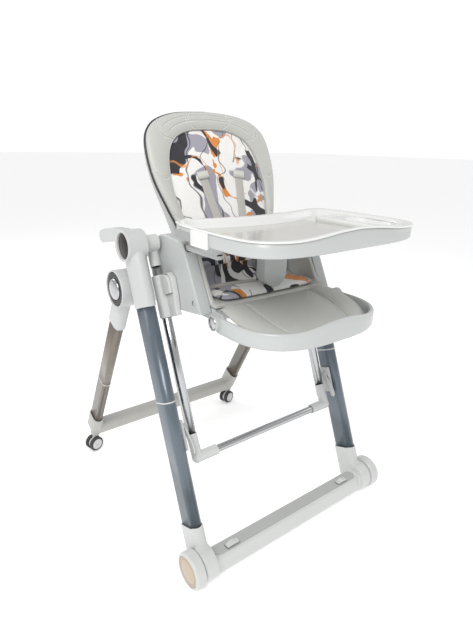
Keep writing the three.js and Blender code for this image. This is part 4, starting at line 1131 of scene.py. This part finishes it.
def strap_band(name, path, half, thick, side_way):
    """A flat band along a path of points, its width along side_way."""
    rings = []
    for i, p in enumerate(path):
        way = (path[min(i + 1, len(path) - 1)] - path[max(i - 1, 0)]).normalized()
        wide = (side_way - way * side_way.dot(way)).normalized()
        face = way.cross(wide)
        corners = softened_line([(-half, -thick), (half, -thick), (half, thick), (-half, thick)], 0.0004, 2)
        rings.append([p + wide * a + face * b for a, b in corners])
    return looped(name, rings)


adjuster_plastic = moulding("adjuster_plastic", (0.62, 0.61, 0.57), 0.4)
for side, sign in SIDES:
    line = curve_through([(sign * 57, 26), (sign * 54, 4), (sign * 49, -30), (sign * 42, -75),
                          (sign * 33, -130), (sign * 26, -185)], 6)
    path = laid_on(insert, [on_back(p.x, p.y, 30) for p in line], into_back, 0.0012)
    strap = strap_band(f"shoulder_webbing_{side}", path, 0.0115, 0.0008, Vector((1, 0, 0)))
    finished(strap, strap_web, "backrest", f"shoulder_strap_{side}", slot="webbing")
    slide_at = laid_on(insert, [on_back(sign * 56.5, 24, 30), on_back(sign * 54, 6, 30)], into_back, 0.003)
    slide = strap_band(f"strap_adjuster_{side}", slide_at, 0.0155, 0.0026, Vector((1, 0, 0)))
    finished(slide, adjuster_plastic, "backrest", slot="ivory_plastic")


# ------------------------------------------------------------------ cloth roll at the hinge
# The printed cloth runs on from the cushion into the insert across the recline hinge, as a soft roll
# that closes the gap below the backrest. The lap webbing comes out from under its two ends.
roll_knots = [(196, 617), (212, 622), (224, 632), (229, 646), (228, 662)]
roll_front = curve_through([(y - 7, z + 5) for y, z in roll_knots], 5)
roll_back = curve_through([(y + 4, z - 3) for y, z in roll_knots], 5)
roll_outline = softened_line([tuple(p) for p in roll_front] + [tuple(p) for p in reversed(roll_back)], 2.5, 3)
roll_rings = []
for x in (-116, -115, -112, -104, -60, 0, 60, 104, 112, 115, 116):
    tuck = 1 - 0.5 * (abs(x) / 116) ** 24
    middle_y = sum(y for y, _ in roll_outline) / len(roll_outline)
    middle_z = sum(z for _, z in roll_outline) / len(roll_outline)
    roll_rings.append([placed(x, middle_y + (y - middle_y) * tuck, middle_z + (z - middle_z) * tuck)
                       for y, z in roll_outline])
roll = looped("hinge_roll", roll_rings)
roll.data.materials.append(back_print)
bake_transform(roll)
for side, sign in SIDES:
    lap_line = curve_through([(sign * 14, 152), (sign * 60, 160), (sign * 105, 174), (sign * 140, 190)], 8)
    lap_path = laid_on(cushion, [placed(p.x, p.y, 660) for p in lap_line], Vector((0, 0, -1)), 0.0012)
    lap = strap_band(f"lap_webbing_{side}", lap_path, 0.0105, 0.0008, Vector((0, 1, 0)))
    finished(lap, strap_web, "seat", slot="webbing")


# ------------------------------------------------------------------ footrest
# The footrest is a grey moulded frame with a tall rounded rim that rises in a wave at the front. It
# turns on a pale disc at each side with a chromed push button in it.
FOOT_HALF_X, FOOT_HALF_Y, FOOT_MIDDLE, FOOT_POWER = 186, 153, 40, 2.8
FOOT_LOW, FOOT_TOP, FOOT_WAVE, FOOT_SIDE_END = 562, 598, 14, 70
FOOT_HINGE = (72, 585)


def front_wave(x, y, half_wide, front_y, height):
    """How far a rim rises at (x, y): a soft hump over the middle of the front."""
    beside = 0.5 + 0.5 * math.cos(math.pi * min(1, abs(x) / (0.72 * half_wide)))
    return height * beside * min(max((20 - y) / (20 - front_y), 0), 1)


def super_point(turn, half_x, half_y, middle, power):
    c, s = math.cos(turn), math.sin(turn)
    return (half_x * math.copysign(abs(c) ** (2 / power), c),
            middle + half_y * math.copysign(abs(s) ** (2 / power), s))


def footrest_line(inset, steps=120):
    """The footrest's plan line from its left rear end round the front to its right rear end."""
    line = [(-FOOT_HALF_X + inset, y) for y in (FOOT_SIDE_END, 60, 50)]
    for i in range(steps + 1):
        line.append(super_point(-math.pi * (1 - i / steps), FOOT_HALF_X - inset, FOOT_HALF_Y - inset,
                                FOOT_MIDDLE, FOOT_POWER))
    return line + [(FOOT_HALF_X - inset, y) for y in (50, 60, FOOT_SIDE_END)]


def footrest_height(x, y, share):
    wave = front_wave(x, y, FOOT_HALF_X, FOOT_MIDDLE - FOOT_HALF_Y, FOOT_WAVE)
    return FOOT_LOW + share * (FOOT_TOP - FOOT_LOW + wave)


rail = [(4, 0.0), (1.4, 0.02), (0.2, 0.10), (0, 0.30), (0, 0.72), (0.5, 0.88), (2.0, 0.965), (4.6, 1.0),
        (7.4, 0.985), (9.2, 0.93), (10, 0.82), (10, 0.5), (10.5, 0.16), (13, 0.095), (30, 0.085), (30, 0.0)]
lines = [footrest_line(inset) for inset, _ in rail]
rings = []
for i in range(len(lines[0])):
    rings.append([placed(line[i][0], line[i][1], footrest_height(*line[i], share))
                  for line, (_, share) in zip(lines, rail)])
rim_wall = looped("footrest_rim", rings)
plate_line = [footrest_line(28, 60)[i] for i in range(67)]
plate = looped("footrest_plate", [[placed(x, min(y, 42), z) for x, y in plate_line]
                                  for z in (FOOT_LOW + 0.1, FOOT_LOW + 2.9)])
discs = []
for side, sign in SIDES:
    discs.append(lathed(f"foot_disc_{side}", [
        (177.9, 5.7), (177.9, 16.8), (194.6, 16.8), (195.9, 15.9),
        (195.9, 14.5), (188.2, 14.3), (188.2, 5.7)], FOOT_HINGE, sign, 72, 0.8))
footrest = joined("footrest_moulding", rim_wall, plate, *discs)
finished(footrest, grey_plastic, "footrest", "footrest_frame", slot="grey_plastic")
for side, sign in SIDES:
    button = lathed(f"foot_button_{side}", [
        (191.5, 0), (191.5, 13.8), (195.4, 13.8), (196.8, 12.8), (197.9, 10), (198.6, 5), (198.8, 0)],
        FOOT_HINGE, sign, 64, 0.5)
    finished(button, chrome, f"footrest_button_{side}", f"footrest_button_{side}", slot="chrome")


# ------------------------------------------------------------------ legrest pad
# One padded piece of the grey leather cloth runs from under the cushion down into the footrest: a
# flat middle panel with a stitched roll along each side, and a rounded front edge.
PAD_BACK, PAD_FRONT, ROLL_AT, ROLL_HALF = 93.0, -95.0, 0.80, 0.20


def pad_plan(u, v):
    """Plan point of the pad: u across, v from the front (-1) to the back (1)."""
    y = PAD_FRONT + (PAD_BACK - PAD_FRONT) * (v + 1) / 2
    if y < FOOT_MIDDLE:
        reach = min((FOOT_MIDDLE - y) / (FOOT_HALF_Y - 15.5), 1.0)
        half = (FOOT_HALF_X - 15.0) * max(1 - reach ** FOOT_POWER, 0.0) ** (1 / FOOT_POWER)
    else:
        half = FOOT_HALF_X - 15.0 - 9.0 * (y - FOOT_MIDDLE) / (PAD_BACK - FOOT_MIDDLE)
    return u * max(half, 62.0), y


def pad_middle(y):
    """Height of the pad's flat panel, from the cushion's front edge down to the front."""
    t = (y - PAD_FRONT) / (PAD_BACK - PAD_FRONT)
    return 575.5 + 34.5 * (t * t * (3 - 2 * t)) ** 0.85


def pad_top(u, v):
    x, y = pad_plan(u, v)
    edge = (1 - abs(v) ** 10) ** 0.5 * (1 - abs(u) ** 14) ** 0.5
    roll = max(0.0, 1 - ((abs(u) - ROLL_AT - 0.005) / ROLL_HALF) ** 2) ** 0.5
    seam = math.exp(-((abs(u) - (ROLL_AT - ROLL_HALF)) / 0.022) ** 2)
    front_dip = 1 - 0.25 * math.exp(-((v + 1) / 0.22) ** 2)
    return placed(x, y, pad_middle(y) - 7 + 7 * edge * front_dip + 5.5 * roll * edge - 3.2 * seam * edge)


def pad_low(u, v):
    x, y = pad_plan(u, v)
    return placed(x, y, max(pad_middle(y) - 7 - 2.5 * (1 - abs(v) ** 8) * (1 - abs(u) ** 8), 566.5))


legrest, legrest_rim = pad_skin("legrest_pad_soft", 96, 72, pad_top, pad_low)
legrest_held = set(legrest_rim)
for vertex in legrest.data.vertices:
    x, y = vertex.co.x * 1000, vertex.co.y * 1000 + 261.17
    u = x / max(abs(pad_plan(1, 2 * (y - PAD_FRONT) / (PAD_BACK - PAD_FRONT) - 1)[0]), 1)
    low_skin = vertex.co.z * 1000 < pad_middle(y) - 7.2
    if abs(abs(u) - (ROLL_AT - ROLL_HALF)) < 0.012 or low_skin:
        legrest_held.add(vertex.index)
legrest = smoothed(pressed_out(legrest, legrest_held, 3.0, 0.004))
legrest.data.materials.clear()
legrest.data.materials.append(cover_leather)
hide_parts("legrest_pad")
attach(legrest, "footrest")
down = Vector((0, 0, -1))
roll_rows = []
for side, sign in SIDES:
    for step in (-0.024, 0.024):
        line = []
        for i in range(60):
            x, y = pad_plan(sign * (ROLL_AT - ROLL_HALF + step), -0.93 + 1.86 * i / 59)
            line.append(placed(x, y, 640))
        roll_rows.append(laid_on(legrest, line, down))
cross_row = [placed(-150 + 300 * i / 60, 88, 640) for i in range(61)]
roll_rows.append(laid_on(legrest, cross_row, down))
sewn_rows("legrest_stitches", roll_rows, thread_finish, "footrest", "webbing")


# ------------------------------------------------------------------ tray body
# The tray is a deep grey skirt with a wavy front rim on two tongues that slide in the arms. A rounded
# post stands under its middle to keep the child from sliding out.
TRAY_X, TRAY_Y, TRAY_MIDDLE, TRAY_POWER = 237, 171, 35, 4.5
TRAY_UNDER, TRAY_FLOOR, TRAY_RIM, TRAY_WAVE = 757, 762, 788, 12
REAR_CORNER, REAR_BELLY = 186, 158


def bezier(points, steps):
    out = []
    for i in range(1, steps + 1):
        t, line = i / steps, [Vector(p) for p in points]
        while len(line) > 1:
            line = [a * (1 - t) + b * t for a, b in zip(line, line[1:])]
        out.append(tuple(line[0]))
    return out


def tray_ring(inset):
    """The tray's plan outline, drawn in by an inset."""
    steps = 130
    ring = [super_point(math.radians(-208 + 236 * i / steps), TRAY_X - inset, TRAY_Y - inset,
                        TRAY_MIDDLE, TRAY_POWER) for i in range(steps + 1)]
    last, rear = ring[-1], REAR_CORNER - inset
    joint = (188 - 0.5 * inset, rear)
    corner = bezier([last, (last[0] - 2, rear), joint], 14)
    belly = bezier([joint, (150, rear), (110, REAR_BELLY - inset), (0, REAR_BELLY - inset)], 30)
    right = corner + belly
    return ring + right + [(-x, y) for x, y in right[-2::-1]][:-1]


def tray_level(inset, z, wave):
    return [placed(x, y, z + wave * front_wave(x, y, TRAY_X, TRAY_MIDDLE - TRAY_Y, TRAY_WAVE))
            for x, y in tray_ring(inset)]


skirt = looped("tray_skirt", [
    tray_level(60, 765, 0), tray_level(5.2, 765, 0), tray_level(5.2, 783.0, 1), tray_level(4.6, 783.6, 1),
    tray_level(2.6, 783.6, 1), tray_level(2, 783, 1), tray_level(2, 762, 0), tray_level(2.3, 760, 0),
    tray_level(3.2, 758.2, 0), tray_level(5.0, 757.2, 0), tray_level(7.0, 757.0, 0),
    tray_level(12, 758.5, 0), tray_level(16, 762, 0), tray_level(60, 762, 0)])
tongues = []
for side, sign in SIDES:
    low_box = softened_line([(178, 722), (192, 722), (192, 733), (178, 733)], 2.0, 3)
    tongues.append(looped(f"tongue_{side}", [[placed(sign * x, y, z) for x, z in low_box]
                                             for y in (60.5, 265.5)]))
    high_box = softened_line([(178, 730), (192, 730), (192, 762.5), (178, 762.5)], 2.0, 3)
    tongues.append(looped(f"hanger_{side}", [[placed(sign * x, y, z) for x, z in high_box]
                                             for y in (60.5, 165.5)]))
tray = joined("tray_moulding", skirt, *tongues)
finished(tray, grey_plastic, "tray", "tray_body", slot="grey_plastic")
moulded_copy("crotch_post", grey_plastic, "tray", 0.0019, 6)
button_plastic = moulding("button_plastic", (0.33, 0.34, 0.335), 0.42, bump=0.3, grain=1000.0)


def tucked_panel(name, sign, corners, rounding, levels, middle, half):
    """A panel on one side of the tray: a side-view outline, drawn in by the tuck of each level."""
    outline = softened_line(corners, rounding, 5)
    (my, mz), (hy, hz) = middle, half
    return looped(name, [[
        placed(sign * x, my + (y - my) * (1 - tuck / hy), mz + (z - mz) * (1 - tuck / hz))
        for y, z in outline] for x, tuck in levels])


for side, sign in SIDES:
    panel = tucked_panel(
        f"tray_button_panel_{side}", sign,
        [(87.4, 760.2), (144.8, 760.2), (144.8, 776.8), (87.4, 776.8)], 4.5,
        ((228, 0), (235.6, 0), (236.3, 0.8), (236.5, 2.0)), (116.1, 768.5), (28, 8))
    finished(panel, button_plastic, f"tray_button_{side}", f"tray_button_{side}", slot="dark_grey_plastic")


# ------------------------------------------------------------------ tray insert
# A glossy ivory liner sits in the tray and lifts out: a broad rolled rim, a shallow bowl whose floor is
# a darker warm-grey copy of the ivory as painted shade, a raised shelf at the right with an oval cup recess,
# and a lug over each side edge.
ivory_plastic = moulding("ivory_plastic", (0.76, 0.765, 0.745), 0.10, bump=0.03, Coat_Weight=0.6,
                         Coat_Roughness=0.04)
insert_skin = looped("insert_skin", [tray_level(*level) for level in (
    (75, 767.2, 0), (40, 767.2, 0), (33, 767.6, 0), (26.5, 771, 0), (16.5, 783.6, 1), (4, 784.2, 1),
    (0.8, 784.4, 1), (0, 785.2, 1), (0.3, 786.8, 1), (1.4, 787.8, 1), (3.5, 788, 1), (8, 787.8, 1),
    (13, 787.3, 1), (16, 786.3, 1), (18.2, 784.2, 1), (20.2, 781.2, 0.7), (22.5, 777.6, 0.25),
    (25, 774.2, 0), (28, 771.9, 0), (32, 770.6, 0), (37, 770.1, 0), (55, 770, 0), (75, 770, 0))])
lugs = []
for side, sign in SIDES:
    lugs.append(tucked_panel(
        f"insert_lug_{side}", sign,
        [(26.4, 753.3), (83.6, 753.3), (83.6, 785.2), (26.4, 785.2)], 3.5,
        ((234.6, 0), (239.0, 0), (240.1, 0.6), (240.5, 1.8)), (55, 769.3), (28.6, 16)))
CUP_AT, CUP_HALF, SHELF_TOP, SHELF_LOW, SHELF_EDGE = (182, -12), (37, 62), 781.3, 769.0, 131.3
SHELF_FRONT, SHELF_BACK = -139, 109
shelf_limit = tray_ring(18.6)


def shelf_reach(turn):
    """How far the shelf goes from the cup's middle in a direction, in millimetres."""
    way, best = (math.cos(turn), math.sin(turn)), 1e9
    for (ax, ay), (bx, by) in zip(shelf_limit, shelf_limit[1:] + shelf_limit[:1]):
        ax, ay, bx, by = ax - CUP_AT[0], ay - CUP_AT[1], bx - CUP_AT[0], by - CUP_AT[1]
        ex, ey = bx - ax, by - ay
        cross = way[0] * ey - way[1] * ex
        if abs(cross) > 1e-9:
            t, w = (ax * ey - ay * ex) / cross, (ax * way[1] - ay * way[0]) / cross
            if t > 0 and -1e-6 <= w <= 1 + 1e-6:
                best = min(best, t)
    for limit, share in ((SHELF_EDGE - CUP_AT[0], way[0]), (SHELF_FRONT - CUP_AT[1], way[1]),
                         (SHELF_BACK - CUP_AT[1], way[1])):
        if share * limit > 0:
            best = min(best, limit / share)
    return best


turns = [2 * math.pi * k / 180 for k in range(180)]
reaches = [shelf_reach(a) for a in turns]
shelf_rings = []
for tuck, z in ((0.5, SHELF_LOW), (0, SHELF_TOP - 4), (0.5, SHELF_TOP - 1.8),
                (1.8, SHELF_TOP - 0.5), (4.0, SHELF_TOP)):
    shelf_rings.append([placed(CUP_AT[0] + math.cos(a) * (r - tuck), CUP_AT[1] + math.sin(a) * (r - tuck), z)
                        for a, r in zip(turns, reaches)])
for size, z in ((1.08, SHELF_TOP), (1.03, SHELF_TOP - 0.4), (1.0, SHELF_TOP - 1.6), (0.97, SHELF_TOP - 4.5),
                (0.93, 774.0), (0.86, 772.6), (0.7, 772.2), (0.3, 772.2)):
    shelf_rings.append([placed(CUP_AT[0] + CUP_HALF[0] * size * math.cos(a),
                               CUP_AT[1] + CUP_HALF[1] * size * math.sin(a), z) for a in turns])
shelf = looped("insert_shelf", shelf_rings)
liner_whole = joined("insert_moulding", insert_skin, shelf, *lugs)
finished(liner_whole, ivory_plastic, "tray_insert", "tray_insert", slot="ivory_plastic")
# Painted shade: the bowl floor is the ivory plastic, coloured a darker warm grey to stand in for shade in the
# recess.
bowl_floor_shade = moulding("bowl_floor_shade", (0.56, 0.55, 0.52), 0.14, bump=0.03, Coat_Weight=0.5)
bowl_cut = [(x, y) for x, y in tray_ring(33.5) if x < SHELF_EDGE - 3]
bowl = looped("insert_bowl_floor", [
    [placed(x * size, TRAY_MIDDLE + (y - TRAY_MIDDLE) * size, z) for x, y in bowl_cut]
    for size, z in ((0.8, 769.9), (0.985, 769.9), (0.985, 770.3), (0.98, 770.5), (0.9, 770.5), (0.6, 770.5))])
finished(bowl, bowl_floor_shade, "tray_insert", slot="ivory_plastic")
